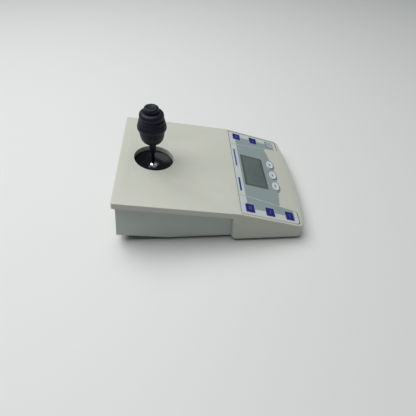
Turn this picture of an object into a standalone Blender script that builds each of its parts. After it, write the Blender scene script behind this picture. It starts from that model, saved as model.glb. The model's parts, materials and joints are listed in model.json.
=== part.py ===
"""Desktop joystick control console: a wedge-shaped cover over a housing, a keypad with a display, and a
joystick in a dished well. Metres, +Z up, -Y towards the person using it. The origin is under the middle of
the console on the surface that it stands on; the bend between the top and the keypad panel is the reference
line that the lengths are measured from."""

import math

import bmesh
import bpy
from mathutils import Matrix, Vector

# Overall sizes
WIDTH = 0.200
TOP_LENGTH = 0.1632
PANEL_LENGTH = 0.1000
BEND_HEIGHT = 0.0551
TOP_SLOPE = math.radians(9.84)
PANEL_SLOPE = math.radians(18.56)
FRONT_BOW = 0.0105

# Cover and housing
GAP = 0.0003
COVER_WALL = 0.0025
RIM_DEPTH = 0.009
BLOCK_BACK = 0.009
BLOCK_CORNER = 0.007
CORNER = 0.003
FRONT_CORNER = 0.006
UNDERSIDE = 0.0050
LIFT_START = 0.100
LIFT_SLOPE = 0.140
SIDE_RECESS = 0.008
BACK_RECESS = 0.0045
BACK_LEAN = 0.1455
HOUSING_WALL = 0.0025
HOUSING_FRONT_ROOM = 0.0008
HOUSING_FRONT_HEIGHT = 0.0033
FOOT_RADIUS = 0.0072
FOOT_INSET_X = 0.024
FRONT_FOOT_SETBACK = 0.032
REAR_FOOT_SETBACK = 0.0112
SCREW_RADIUS = 0.0015
BOSS_RADIUS = 0.0042
COVER_SCREW_INSET_X = 0.018
REAR_SCREW_SETBACK = 0.0352
COVER_SCREW_HEAD = 0.0028

# Keypad panel; distances down the slope start at the bend
OVERLAY_THICKNESS = 0.0006
OVERLAY_SINK = 0.00015
OVERLAY_EDGE = 0.0035
OVERLAY_TOP = 0.0025
OVERLAY_FRONT_EDGE = 0.0029
STRIP_REAR_WIDTH = 0.0365
STRIP_FRONT_WIDTH = 0.0240
RIB = 0.0012
CENTRE_LOBE = 0.0023
DISPLAY_SIZE = (0.071, 0.037)
DISPLAY_REAR_EDGE = 0.0170
DISPLAY_LEDGE = 0.002
KEY_SIZE = (0.0150, 0.0126)
KEY_EDGE = 0.0164
KEY_REAR_EDGE = 0.0165
KEY_FRONT_EDGE = 0.0145
KEY_THICKNESS = 0.0008
KEY_PROUD = 0.00035
KEY_STEM = (0.0090, 0.0070)
OVAL_SIZE = (0.019, 0.012)
OVAL_SPACE = 0.0065
OVAL_AFTER_DISPLAY = 0.0073
OVAL_PROUD = 0.0012
OVAL_FLANGE = 0.0012
KEY_GAP = 0.0005
BOARD_THICKNESS = 0.0016
MODULE_THICKNESS = 0.0032
MODULE_BORDER = 0.006
SWITCH_SIZE = 0.006
SWITCH_HEIGHT = 0.0012

# Joystick
HOLE_REAR_ROOM = 0.0195
HOLE_RADIUS = 0.0283
COLLAR_DEPTH = 0.0075
PIVOT_DEPTH = 0.016
STICK_LEAN = math.radians(5.34)
BALL_RADIUS = 0.00765
BALL_GAP = 0.0003
ROD_RADIUS = 0.0025
ROD_PAST_BAIL = 0.0065
SLEEVE_RADIUS = 0.00475
SLEEVE_START = 0.0265
GRIP_START = 0.041
BUTTON_TRAVEL = 0.0012
DISH_FLANGE = 0.0057
DISH_THICKNESS = 0.002
BAIL_THICKNESS = 0.002
BAIL_HALF_WIDTH = 0.005
BAIL_EYE = 0.004
BAIL_CLEARANCE = 0.0035
SLOT_GAP = 0.0006
FRAME_WALL = 0.003
FRAME_GAP = 0.0015
TRUNNION_RADIUS = 0.002
POT_RADIUS = 0.0055
POT_LENGTH = 0.008

# Electronics and the back wall
MAIN_BOARD_DEPTH = 0.080
MAIN_BOARD_ROOM = 0.0145
MAIN_BOARD_Y = 0.050
STANDOFF = 0.006
PORT_HEIGHT = 0.040
PORT_PROUD = 0.0042
PORT_FLANGE = 0.004

# Places that follow from the sizes above
HALF = WIDTH / 2
FRONT_FOOT_Y = FRONT_FOOT_SETBACK - PANEL_LENGTH
REAR_FOOT_Y = TOP_LENGTH - REAR_FOOT_SETBACK
REAR_SCREW_Y = TOP_LENGTH - REAR_SCREW_SETBACK
OVERLAY_BOTTOM = (PANEL_LENGTH - FRONT_BOW) / math.cos(PANEL_SLOPE) - OVERLAY_FRONT_EDGE
KEY_LAST_DOWN = OVERLAY_BOTTOM - KEY_FRONT_EDGE
KEY_DOWN = (KEY_REAR_EDGE, (KEY_REAR_EDGE + KEY_LAST_DOWN) / 2, KEY_LAST_DOWN)
DISPLAY_DOWN = DISPLAY_REAR_EDGE + DISPLAY_SIZE[1] / 2
OVAL_DOWN = DISPLAY_DOWN + DISPLAY_SIZE[1] / 2 + OVAL_AFTER_DISPLAY + OVAL_SIZE[1] / 2
OVAL_PITCH = OVAL_SIZE[0] + OVAL_SPACE
CENTRE_BOTTOM = OVAL_DOWN - CENTRE_LOBE
HOLE_BACK = HOLE_REAR_ROOM + HOLE_RADIUS
FORE_AFT_REACH = HOLE_RADIUS - 0.0023
SIDE_REACH = HOLE_RADIUS + 0.0017
FORE_AFT_DEPTH = BALL_RADIUS + BAIL_CLEARANCE
SIDE_DEPTH = FORE_AFT_DEPTH + BAIL_THICKNESS + 0.0045
ROD_BELOW = SIDE_DEPTH + ROD_PAST_BAIL
SOCKET_RADIUS = BALL_RADIUS + 0.00435
MAIN_BOARD = (2 * (HALF - SIDE_RECESS - HOUSING_WALL - MAIN_BOARD_ROOM), MAIN_BOARD_DEPTH)
ROUND = 28


# ---------------------------------------------------------------- helpers

def material(name, colour, roughness, metallic=0.0, alpha=1.0):
    made = bpy.data.materials.new(name)
    made.use_nodes = True
    shader = made.node_tree.nodes["Principled BSDF"]
    shader.inputs["Base Color"].default_value = (*colour, 1.0)
    shader.inputs["Roughness"].default_value = roughness
    shader.inputs["Metallic"].default_value = metallic
    shader.inputs["Alpha"].default_value = alpha
    return made


def empty(name, location, parent=None, tilt=0.0):
    made = bpy.data.objects.new(name, None)
    bpy.context.collection.objects.link(made)
    made.location = location
    made.rotation_euler = (tilt, 0.0, 0.0)
    made.parent = parent
    return made


def add_object(name, mesh_in, look, parent, location=(0, 0, 0)):
    bmesh.ops.recalc_face_normals(mesh_in, faces=mesh_in.faces)
    mesh = bpy.data.meshes.new(name)
    mesh_in.to_mesh(mesh)
    mesh_in.free()
    made = bpy.data.objects.new(name, mesh)
    bpy.context.collection.objects.link(made)
    made.parent = parent
    made.location = location
    if look:
        mesh.materials.append(look)
        mesh.shade_smooth()
        mesh.set_sharp_from_angle(angle=math.radians(35))
    return made


def hide(guide):
    guide.hide_render = True
    guide.display_type = "WIRE"


def combine(target, other, operation):
    hide(other)
    change = target.modifiers.new(operation.lower(), "BOOLEAN")
    change.operation = operation
    change.object = other


def cut(target, *cutters):
    for cutter in cutters:
        combine(target, cutter, "DIFFERENCE")


def join(target, *others):
    for other in others:
        combine(target, other, "UNION")


def prism(outline, low, high, axis="Z"):
    """A closed outline drawn in the plane across the axis, extruded from low to high."""
    places = {"X": lambda a, b, c: (c, a, b),
              "Y": lambda a, b, c: (a, c, b),
              "Z": lambda a, b, c: (a, b, c)}
    made = bmesh.new()
    lower = [made.verts.new(places[axis](a, b, low)) for a, b in outline]
    upper = [made.verts.new(places[axis](a, b, high)) for a, b in outline]
    made.faces.new(lower)
    made.faces.new(upper)
    for i in range(len(outline)):
        j = (i + 1) % len(outline)
        made.faces.new((lower[i], lower[j], upper[j], upper[i]))
    return made


def lathe(profile, segments=ROUND):
    """Turns (radius, height) points about Z; a point with no radius closes on the axis."""
    made = bmesh.new()
    rings = []
    for radius, height in profile:
        turns = 1 if radius < 1e-7 else segments
        angles = [2 * math.pi * i / segments for i in range(turns)]
        rings.append([made.verts.new((radius * math.cos(a), radius * math.sin(a), height)) for a in angles])
    pairs = list(zip(rings, rings[1:]))
    if len(rings[0]) > 1:
        pairs.append((rings[-1], rings[0]))
    for first, second in pairs:
        for i in range(segments):
            j = (i + 1) % segments
            corners = [first[i % len(first)], first[j % len(first)],
                       second[j % len(second)], second[i % len(second)]]
            unique = list(dict.fromkeys(corners))
            if len(unique) > 2:
                made.faces.new(unique)
    return made


def rectangle(width, depth, x=0.0, y=0.0):
    return [(x - width / 2, y - depth / 2), (x + width / 2, y - depth / 2),
            (x + width / 2, y + depth / 2), (x - width / 2, y + depth / 2)]


def ellipse(width, depth, x=0.0, y=0.0, segments=ROUND):
    angles = [2 * math.pi * i / segments for i in range(segments)]
    return [(x + width / 2 * math.cos(a), y + depth / 2 * math.sin(a)) for a in angles]


def rounded(outline, radius, steps=5):
    """The outline with each corner turned into an arc; radius is one value, or one for each corner."""
    radii = radius if isinstance(radius, (list, tuple)) else [radius] * len(outline)
    result = []
    for i, corner in enumerate(outline):
        here = Vector(corner)
        before = (Vector(outline[i - 1]) - here).normalized()
        after = (Vector(outline[(i + 1) % len(outline)]) - here).normalized()
        half_angle = before.angle(after) / 2
        if radii[i] <= 0 or half_angle > math.radians(85):
            result.append(tuple(here))
            continue
        centre = here + (before + after).normalized() * (radii[i] / math.sin(half_angle))
        reach = radii[i] / math.tan(half_angle)
        start = here + before * reach - centre
        sweep = start.angle_signed(here + after * reach - centre)
        for k in range(steps + 1):
            turned = Matrix.Rotation(-sweep * k / steps, 2) @ start
            result.append(tuple(centre + turned))
    return result


def grown(outline, distance):
    """The outline moved outwards by a distance, with its corners kept sharp."""
    area = sum(outline[i - 1][0] * p[1] - p[0] * outline[i - 1][1] for i, p in enumerate(outline))
    side = 1 if area > 0 else -1
    result = []
    for i, point in enumerate(outline):
        here = Vector(point)
        into = (here - Vector(outline[i - 1])).normalized()
        out = (Vector(outline[(i + 1) % len(outline)]) - here).normalized()
        normal_in = Vector((into.y, -into.x)) * side
        normal_out = Vector((out.y, -out.x)) * side
        bisector = (normal_in + normal_out).normalized()
        result.append(tuple(here + bisector * (distance / max(bisector.dot(normal_in), 0.4))))
    return result


def top_height(y):
    slope = TOP_SLOPE if y >= 0 else PANEL_SLOPE
    return BEND_HEIGHT + math.tan(slope) * y


def underside(y):
    return UNDERSIDE + max(0.0, y - LIFT_START) * LIFT_SLOPE


# ---------------------------------------------------------------- cover and housing

def front_arc(inset, steps=16):
    """The bowed front edge from the left corner to the right one, moved in by the inset."""
    radius = (HALF ** 2 + FRONT_BOW ** 2) / (2 * FRONT_BOW)
    centre = radius - PANEL_LENGTH
    reach = HALF - inset
    return [(x, centre - math.sqrt((radius - inset) ** 2 - x * x))
            for x in (-reach + 2 * reach * i / steps for i in range(steps + 1))]


def plan_outline(inset, back, back_corner):
    """Seen from above: the bowed front, straight sides, and a straight back at the given place."""
    arc = front_arc(inset)
    outline = arc + [(HALF - inset, back - inset), (inset - HALF, back - inset)]
    front = max(FRONT_CORNER - inset, 0.001)
    rear = max(back_corner - inset, 0.001)
    radii = [front] + [0.0] * (len(arc) - 2) + [front, rear, rear]
    return rounded(outline, radii)


def wedge(outline, top_drop, bottom):
    """An outline lifted to the sloping top, with a fold at the bend. bottom is a height, or a depth under
    the top when it is negative."""
    made = bmesh.new()
    made.faces.new([made.verts.new((x, y, 0.0)) for x, y in outline])
    parts = made.verts[:] + made.edges[:] + made.faces[:]
    bmesh.ops.bisect_plane(made, geom=parts, dist=1e-7, plane_co=(0, 0, 0), plane_no=(0, 1, 0))
    raised = bmesh.ops.extrude_face_region(made, geom=made.faces[:])["geom"]
    uppers = {v for v in raised if isinstance(v, bmesh.types.BMVert)}
    for vert in made.verts:
        surface = top_height(vert.co.y)
        if vert in uppers:
            vert.co.z = surface - top_drop / math.cos(TOP_SLOPE if vert.co.y >= 0 else PANEL_SLOPE)
        elif bottom >= 0:
            vert.co.z = bottom
        else:
            lean = -bottom * math.sin(TOP_SLOPE) if vert.co.y > BLOCK_BACK else 0.0
            vert.co.z = surface + bottom * math.cos(TOP_SLOPE)
            vert.co.y += lean
    return made


def cover_screw_places():
    across = HALF - COVER_SCREW_INSET_X
    between_keys = -(KEY_DOWN[1] + KEY_DOWN[2]) / 2 * math.cos(PANEL_SLOPE)
    return [(side * across, y) for y in (between_keys, REAR_SCREW_Y) for side in (-1, 1)]


def make_top_cover(frames, looks):
    root = frames["console"]
    cover = add_object("top_cover", wedge(plan_outline(0, TOP_LENGTH, CORNER), 0, -RIM_DEPTH),
                       looks["cover"], root)
    block = wedge(plan_outline(0, BLOCK_BACK, BLOCK_CORNER), 0.001, UNDERSIDE + 0.0005)
    join(cover, add_object("cover_block", block, None, root))
    under_top = wedge(plan_outline(COVER_WALL, TOP_LENGTH, CORNER), COVER_WALL, -RIM_DEPTH - 0.003)
    in_block = wedge(plan_outline(COVER_WALL, BLOCK_BACK, BLOCK_CORNER), COVER_WALL + 0.0005, 0)
    passage = (HALF - SIDE_RECESS + GAP) * 2
    doorway = wedge(rectangle(passage, 0.040, 0, BLOCK_BACK), COVER_WALL + 0.001, 0)
    cut(cover, add_object("cover_top_void", under_top, None, root),
        add_object("cover_block_void", in_block, None, root),
        add_object("cover_passage", doorway, None, root))
    for i, (x, y) in enumerate(cover_screw_places()):
        floor = underside(y + BOSS_RADIUS) + HOUSING_WALL * math.hypot(1, LIFT_SLOPE) + GAP
        boss = add_object(f"cover_boss_{i}", wedge(ellipse(2 * BOSS_RADIUS, 2 * BOSS_RADIUS, x, y, 12),
                                                   0.001, floor), None, root)
        join(cover, boss)
        hole = prism(ellipse(*[2 * (SCREW_RADIUS + GAP)] * 2, x, y, 12), 0.0, floor + 0.009)
        cut(cover, add_object(f"cover_boss_hole_{i}", hole, None, root))
    return cover


def pierce_cover_for_joystick(cover, frames):
    well = frames["well"]
    collar = add_object("cover_collar", prism(ellipse(*[2 * (HOLE_RADIUS + COVER_WALL)] * 2, segments=64),
                                              -COLLAR_DEPTH, -0.001), None, well)
    join(cover, collar)
    for i, (x, y) in enumerate(frame_posts()):
        post = add_object(f"cover_frame_post_{i}", prism(ellipse(*[2 * BOSS_RADIUS] * 2, x, y, 12),
                                                         -COLLAR_DEPTH, -0.001), None, well)
        join(cover, post)
        hole = prism(ellipse(*[2 * (SCREW_RADIUS + GAP)] * 2, x, y, 12), -0.02, -COVER_WALL + 0.0005)
        cut(cover, add_object(f"cover_frame_hole_{i}", hole, None, well))
    opening = prism(ellipse(*[2 * HOLE_RADIUS] * 2, segments=64), -0.02, 0.02)
    cut(cover, add_object("cover_opening", opening, None, well))


def pierce_cover_for_panel(cover, frames):
    panel = frames["panel"]
    recess_depth = OVERLAY_SINK + OVERLAY_THICKNESS + GAP
    for name, outline in overlay_outlines().items():
        recess = add_object(f"{name}_recess", prism(grown(outline, GAP), -recess_depth, 0.01), None, panel)
        cut(cover, recess)
    wide, deep = DISPLAY_SIZE
    window = rectangle(wide - 2 * DISPLAY_LEDGE, deep - 2 * DISPLAY_LEDGE, 0, -DISPLAY_DOWN)
    cut(cover, add_object("display_cut", prism(window, -0.01, 0.01), None, panel))
    for name, x, down in key_places():
        hole = rectangle(KEY_STEM[0] + 2 * KEY_GAP, KEY_STEM[1] + 2 * KEY_GAP, x, -down)
        cut(cover, add_object(f"{name}_hole", prism(hole, -0.01, 0.01), None, panel))
    for name, x in oval_places():
        hole = ellipse(OVAL_SIZE[0] + 2 * KEY_GAP, OVAL_SIZE[1] + 2 * KEY_GAP, x, -OVAL_DOWN, 24)
        cut(cover, add_object(f"{name}_hole", prism(hole, -0.01, 0.01), None, panel))


def housing_profile(inset, open_top):
    """Side view of the housing, front bottom first. The inner one, whose inset is the wall, runs on up."""
    rise = inset * math.hypot(1, LIFT_SLOPE)
    back_bottom = TOP_LENGTH + RIM_DEPTH * math.sin(TOP_SLOPE) - BACK_RECESS + BACK_LEAN * (
        top_height(TOP_LENGTH) - RIM_DEPTH - underside(TOP_LENGTH))
    front = housing_front() + inset

    def back_at(height):
        raised = height - underside(back_bottom)
        return back_bottom - inset * math.hypot(1, BACK_LEAN) - BACK_LEAN * raised

    def covered(y):
        return top_height(y) - (COVER_WALL + GAP) / math.cos(PANEL_SLOPE) + open_top

    top_back = back_at(covered(TOP_LENGTH - BACK_RECESS))
    low_back = back_at(underside(back_bottom) + rise)
    return [(front, UNDERSIDE + inset), (LIFT_START, UNDERSIDE + inset),
            (low_back, underside(low_back) + rise), (top_back, covered(top_back)),
            (0.0, covered(0.0)), (front, UNDERSIDE + HOUSING_FRONT_HEIGHT + open_top)]


def housing_front():
    return front_arc(0)[0][1] + COVER_WALL + HOUSING_FRONT_ROOM


def make_housing(frames, looks):
    root = frames["console"]
    across = HALF - SIDE_RECESS
    outer = housing_profile(0.0, 0.0)
    housing = add_object("base_housing", prism(outer, -across, across, "X"), looks["housing"], root)
    floor_outline = plan_outline(COVER_WALL + GAP, BLOCK_BACK, BLOCK_CORNER)
    flange = prism(floor_outline, UNDERSIDE, UNDERSIDE + HOUSING_WALL)
    join(housing, add_object("housing_flange", flange, None, root))
    inside = across - HOUSING_WALL
    hollow = prism(housing_profile(HOUSING_WALL, 0.03), -inside, inside, "X")
    cut(housing, add_object("housing_hollow", hollow, None, root))
    for i, (x, y) in enumerate(cover_screw_places()):
        floor = underside(y)
        shank = prism(ellipse(*[2 * (SCREW_RADIUS + GAP)] * 2, x, y, 12), 0.0, floor + 0.02)
        cut(housing, add_object(f"housing_screw_hole_{i}", shank, None, root))
        head = prism(ellipse(*[2 * (COVER_SCREW_HEAD + GAP)] * 2, x, y, 16), 0.0, floor + 0.0012)
        cut(housing, add_object(f"housing_screw_head_{i}", head, None, root))
    for i, (x, y) in enumerate(board_screw_places()):
        post = prism(ellipse(0.007, 0.007, x, y, 12), UNDERSIDE + 0.001, board_height() - GAP)
        join(housing, add_object(f"housing_standoff_{i}", post, None, root))
        hole = prism(ellipse(*[2 * (SCREW_RADIUS + GAP)] * 2, x, y, 12), UNDERSIDE + HOUSING_WALL, 0.05)
        cut(housing, add_object(f"housing_standoff_hole_{i}", hole, None, root))
    for name, x, size, kind in port_places():
        outline = port_outline(size, kind, GAP)
        hole = add_object(f"{name}_hole", prism(outline, -0.02, 0.02), None, frames["back"], (x, 0, 0))
        cut(housing, hole)
    return housing


def make_feet(frames, looks):
    for y, where in ((FRONT_FOOT_Y, "front"), (REAR_FOOT_Y, "rear")):
        for side, hand in ((-1, "left"), (1, "right")):
            x = side * (HALF - FOOT_INSET_X)
            foot = lathe([(0, 0), (FOOT_RADIUS - 0.0008, 0), (FOOT_RADIUS, 0.0008),
                          (FOOT_RADIUS, 0.003), (0, 0.003)], 24)
            for vert in foot.verts:
                vert.co.x += x
                vert.co.y += y
                if vert.co.z > 0.002:
                    vert.co.z = underside(vert.co.y) - GAP
            add_object(f"{where}_{hand}_foot", foot, looks["rubber"], frames["console"])


def screw(name, place, length, head, look, parent):
    """A pan-head screw that points up its local Z, with a driver slot in the head."""
    profile = [(0, 0), (head * 0.7, 0), (head, 0.0005), (head, 0.0010), (SCREW_RADIUS, 0.0010),
               (SCREW_RADIUS, length - 0.0008), (0, length)]
    made = add_object(name, lathe(profile, 12), look, parent, place)
    slot = prism(rectangle(head * 1.2, 0.0006), -0.001, 0.0004)
    cut(made, add_object(f"{name}_slot", slot, None, parent, place))


def make_cover_screws(frames, looks):
    names = ("front_left", "front_right", "rear_left", "rear_right")
    for name, (x, y) in zip(names, cover_screw_places()):
        screw(f"{name}_cover_screw", (x, y, underside(y)), 0.0095, COVER_SCREW_HEAD, looks["steel"],
              frames["console"])


# ---------------------------------------------------------------- keypad panel

def strip_edge(down, gap):
    """Where a side strip's inner edge is, this far down the slope, as a distance from the middle."""
    share = (down - OVERLAY_TOP) / (OVERLAY_BOTTOM - OVERLAY_TOP)
    width = STRIP_REAR_WIDTH + (STRIP_FRONT_WIDTH - STRIP_REAR_WIDTH) * share
    return HALF - OVERLAY_EDGE - width - gap


def centre_edge(x):
    """The front edge of the centre overlay: level at the sides, with a lobe round each oval key."""
    edge = CENTRE_BOTTOM + 0.0045 * min(1.0, (strip_edge(CENTRE_BOTTOM, RIB) - abs(x)) / 0.027)
    for _, key_x in oval_places():
        across = (x - key_x) / (OVAL_SIZE[0] * 0.71)
        if abs(across) < 1:
            edge = max(edge, OVAL_DOWN + OVAL_SIZE[1] * 0.70 * math.sqrt(1 - across * across))
    if abs(x) < OVAL_PITCH:
        edge = max(edge, OVAL_DOWN + OVAL_SIZE[1] * 0.47)
    return edge


def overlay_outlines():
    """Outlines in the panel's plane, X across and Y up the slope."""
    outer = HALF - OVERLAY_EDGE
    strip = [(outer, -OVERLAY_TOP), (strip_edge(OVERLAY_TOP, 0), -OVERLAY_TOP),
             (strip_edge(OVERLAY_BOTTOM, 0), -OVERLAY_BOTTOM), (outer, -OVERLAY_BOTTOM)]
    right = rounded(strip, [0.001, 0.001, 0.003, 0.006])
    steps = 48
    reach = strip_edge(CENTRE_BOTTOM, RIB)
    lower = [(x, -centre_edge(x)) for x in (reach - 2 * reach * i / steps for i in range(steps + 1))]
    top = strip_edge(OVERLAY_TOP, RIB)
    centre = [(-top, -OVERLAY_TOP), (top, -OVERLAY_TOP)] + lower
    return {"left_overlay": [(-x, y) for x, y in right], "centre_overlay": centre, "right_overlay": right}


def key_places():
    across = HALF - KEY_EDGE
    return [(f"{hand}_key_{i + 1}", side * across, down)
            for side, hand in ((-1, "left"), (1, "right")) for i, down in enumerate(KEY_DOWN)]


def oval_places():
    return [(f"oval_key_{i + 1}", (i - 1) * OVAL_PITCH) for i in range(3)]


def board_top():
    """Level of the keypad board's upper face, as a depth under the panel's surface."""
    return -(COVER_WALL + GAP + MODULE_THICKNESS + GAP)


def make_overlays(frames, looks):
    panel = frames["panel"]
    for name, outline in overlay_outlines().items():
        sheet = add_object(name, prism(outline, -OVERLAY_SINK - OVERLAY_THICKNESS, -OVERLAY_SINK),
                           looks["overlay"], panel)
        for key, x, down in key_places():
            if name.split("_")[0] == key.split("_")[0]:
                hole = rounded(rectangle(KEY_SIZE[0] + 2 * GAP, KEY_SIZE[1] + 2 * GAP, x, -down), 0.0008, 2)
                cut(sheet, add_object(f"{key}_sheet_hole", prism(hole, -0.005, 0.005), None, panel))
        if name == "centre_overlay":
            hole = rectangle(DISPLAY_SIZE[0] + 2 * GAP, DISPLAY_SIZE[1] + 2 * GAP, 0, -DISPLAY_DOWN)
            cut(sheet, add_object("display_sheet_hole", prism(hole, -0.005, 0.005), None, panel))
            for key, x in oval_places():
                hole = ellipse(OVAL_SIZE[0] + 2 * KEY_GAP, OVAL_SIZE[1] + 2 * KEY_GAP, x, -OVAL_DOWN, 24)
                cut(sheet, add_object(f"{key}_sheet_hole", prism(hole, -0.005, 0.005), None, panel))


def make_display(frames, looks):
    panel = frames["panel"]
    pane = rectangle(*DISPLAY_SIZE, 0, -DISPLAY_DOWN)
    add_object("display_window", prism(pane, -OVERLAY_SINK - OVERLAY_THICKNESS, -OVERLAY_SINK),
               looks["glass"], panel)
    wide, deep = DISPLAY_SIZE
    module = rectangle(wide + 2 * MODULE_BORDER, deep + MODULE_BORDER, 0, -DISPLAY_DOWN)
    top = -(COVER_WALL + GAP)
    body = add_object("display_module", prism(module, top - MODULE_THICKNESS, top), looks["module"], panel)
    glass_edge = rectangle(wide, deep - MODULE_BORDER / 2, 0, -DISPLAY_DOWN)
    cut(body, add_object("module_well", prism(glass_edge, top - 0.0008, top + 0.01), None, panel))


def make_keypad_board(frames, looks):
    panel = frames["panel"]
    top = board_top()
    wall = front_arc(0)[0][1] + COVER_WALL + 2 * GAP
    front = (-top * math.sin(PANEL_SLOPE) - wall) / math.cos(PANEL_SLOPE)
    back = OVERLAY_TOP + 0.002
    across = 2 * (HALF - SIDE_RECESS - HOUSING_WALL - 2 * GAP)
    outline = rectangle(across, front - back, 0, -(front + back) / 2)
    board = add_object("keypad_board", prism(outline, top - BOARD_THICKNESS, top), looks["board"], panel)
    places = [(x, down) for _, x, down in key_places()] + [(x, OVAL_DOWN) for _, x in oval_places()]
    for i, (x, down) in enumerate(places):
        switch = prism(rectangle(SWITCH_SIZE, SWITCH_SIZE, x, -down), top - 0.0004, top + SWITCH_HEIGHT)
        join(board, add_object(f"switch_{i}", switch, None, panel))
    for i, (x, y) in enumerate(cover_screw_places()[:2]):
        notch = prism(ellipse(*[2 * (BOSS_RADIUS + 2 * GAP)] * 2, x, y, 16), 0, BEND_HEIGHT)
        cut(board, add_object(f"board_notch_{i}", notch, None, frames["console"]))


def make_keys(frames, looks):
    panel = frames["panel"]
    stem_end = board_top() + SWITCH_HEIGHT + 0.0007
    for name, x, down in key_places():
        place = (x, -down, 0)
        cap = rounded(rectangle(*KEY_SIZE), 0.0006, 2)
        white = name == "right_key_3"
        key = add_object(name, prism(cap, KEY_PROUD - KEY_THICKNESS, KEY_PROUD),
                         looks["white_key" if white else "blue_key"], panel, place)
        stem = prism(rectangle(*KEY_STEM), stem_end, KEY_PROUD - KEY_THICKNESS / 2)
        join(key, add_object(f"{name}_stem", stem, None, panel, place))
    for name, x in oval_places():
        place = (x, -OVAL_DOWN, 0)
        body = bmesh.new()
        levels = [(0.62, OVAL_PROUD), (0.86, OVAL_PROUD - 0.0002), (1.0, OVAL_PROUD - 0.0008)]
        levels += [(1.0, -COVER_WALL - GAP), (1.0 + 2 * OVAL_FLANGE / OVAL_SIZE[1], -COVER_WALL - GAP)]
        levels += [(1.0 + 2 * OVAL_FLANGE / OVAL_SIZE[1], -COVER_WALL - GAP - 0.0008)]
        levels += [(0.62, -COVER_WALL - GAP - 0.0008), (0.3, stem_end)]
        rings = []
        for share, height in levels:
            deep = OVAL_SIZE[1] * share
            ring = ellipse(OVAL_SIZE[0] - OVAL_SIZE[1] + deep, deep, segments=24)
            rings.append([body.verts.new((a, b, height)) for a, b in ring])
        body.faces.new(rings[0])
        body.faces.new(rings[-1])
        for first, second in zip(rings, rings[1:]):
            for i in range(24):
                body.faces.new((first[i], first[(i + 1) % 24], second[(i + 1) % 24], second[i]))
        add_object(name, body, looks["white_key"], panel, place)


# ---------------------------------------------------------------- joystick

def frame_posts():
    across = FORE_AFT_REACH + BAIL_THICKNESS + FRAME_GAP + FRAME_WALL / 2
    along = SIDE_REACH + BAIL_THICKNESS + FRAME_GAP + FRAME_WALL / 2
    return [(sx * across, sy * along) for sx in (-1, 1) for sy in (-1, 1)]


def arc_profile(radius, low, high, steps=6):
    """Points on a circle about the pivot, by height."""
    return [(math.sqrt(radius ** 2 - h ** 2), h)
            for h in (low + (high - low) * i / steps for i in range(steps + 1))]


def make_dish(frames, looks):
    pivot = frames["pivot"]
    rim_top = PIVOT_DEPTH - COLLAR_DEPTH - GAP
    outer = HOLE_RADIUS + DISH_FLANGE
    seat = BALL_RADIUS + BALL_GAP
    inner = arc_profile(seat, 0.0, 0.0022, 2)
    upper = [(seat + 0.0016, 0.0024), (seat + 0.0100, 0.0044), (HOLE_RADIUS - 0.0017, rim_top - 0.0012),
             (HOLE_RADIUS - 0.0009, rim_top), (outer, rim_top)]
    lower = [(outer, rim_top - DISH_THICKNESS), (HOLE_RADIUS, rim_top - DISH_THICKNESS),
             (HOLE_RADIUS - 0.003, rim_top - DISH_THICKNESS - 0.0012), (SOCKET_RADIUS, 0.0)]
    add_object("joystick_dish", lathe(inner + upper + lower, 36), looks["gloss_black"], pivot)
    cup = arc_profile(seat, -0.0052, -GAP, 3)
    outside = [(SOCKET_RADIUS, -GAP), (SOCKET_RADIUS, -0.0045), (SOCKET_RADIUS - 0.0015, -0.0052)]
    add_object("ball_socket", lathe(cup + outside, 24), looks["white_plastic"], pivot)


def bail(name, reach, depth, slot_half, look, parent, along):
    """A slotted strap hung from two eyes, bent down under the ball. It spans along X or along Y."""
    turn = Matrix.Rotation(math.radians(90) if along == "Y" else 0.0, 4, "Z")
    wide = BAIL_HALF_WIDTH
    outer = reach + BAIL_THICKNESS
    profile = [(-outer, BAIL_EYE), (-outer, -depth - BAIL_THICKNESS), (outer, -depth - BAIL_THICKNESS),
               (outer, BAIL_EYE), (reach, BAIL_EYE), (reach, -depth), (-reach, -depth), (-reach, BAIL_EYE)]
    body = prism(profile, -wide, wide, "Y")
    body.transform(turn)
    made = add_object(name, body, look, parent)
    beside = ROD_RADIUS + SLOT_GAP
    slot = prism(rounded(rectangle(2 * slot_half, 2 * beside), beside - 0.0001, 4),
                 -depth - 0.01, -depth + 0.003)
    slot.transform(turn)
    cut(made, add_object(f"{name}_slot", slot, None, parent))
    for side in (-1, 1):
        pin = prism(ellipse(*[2 * TRUNNION_RADIUS] * 2, segments=16), side * (reach + 0.0005),
                    side * (outer + FRAME_GAP + FRAME_WALL), "X")
        pin.transform(turn)
        join(made, add_object(f"{name}_pin_{side + 1}", pin, None, parent))
    return made


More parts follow.
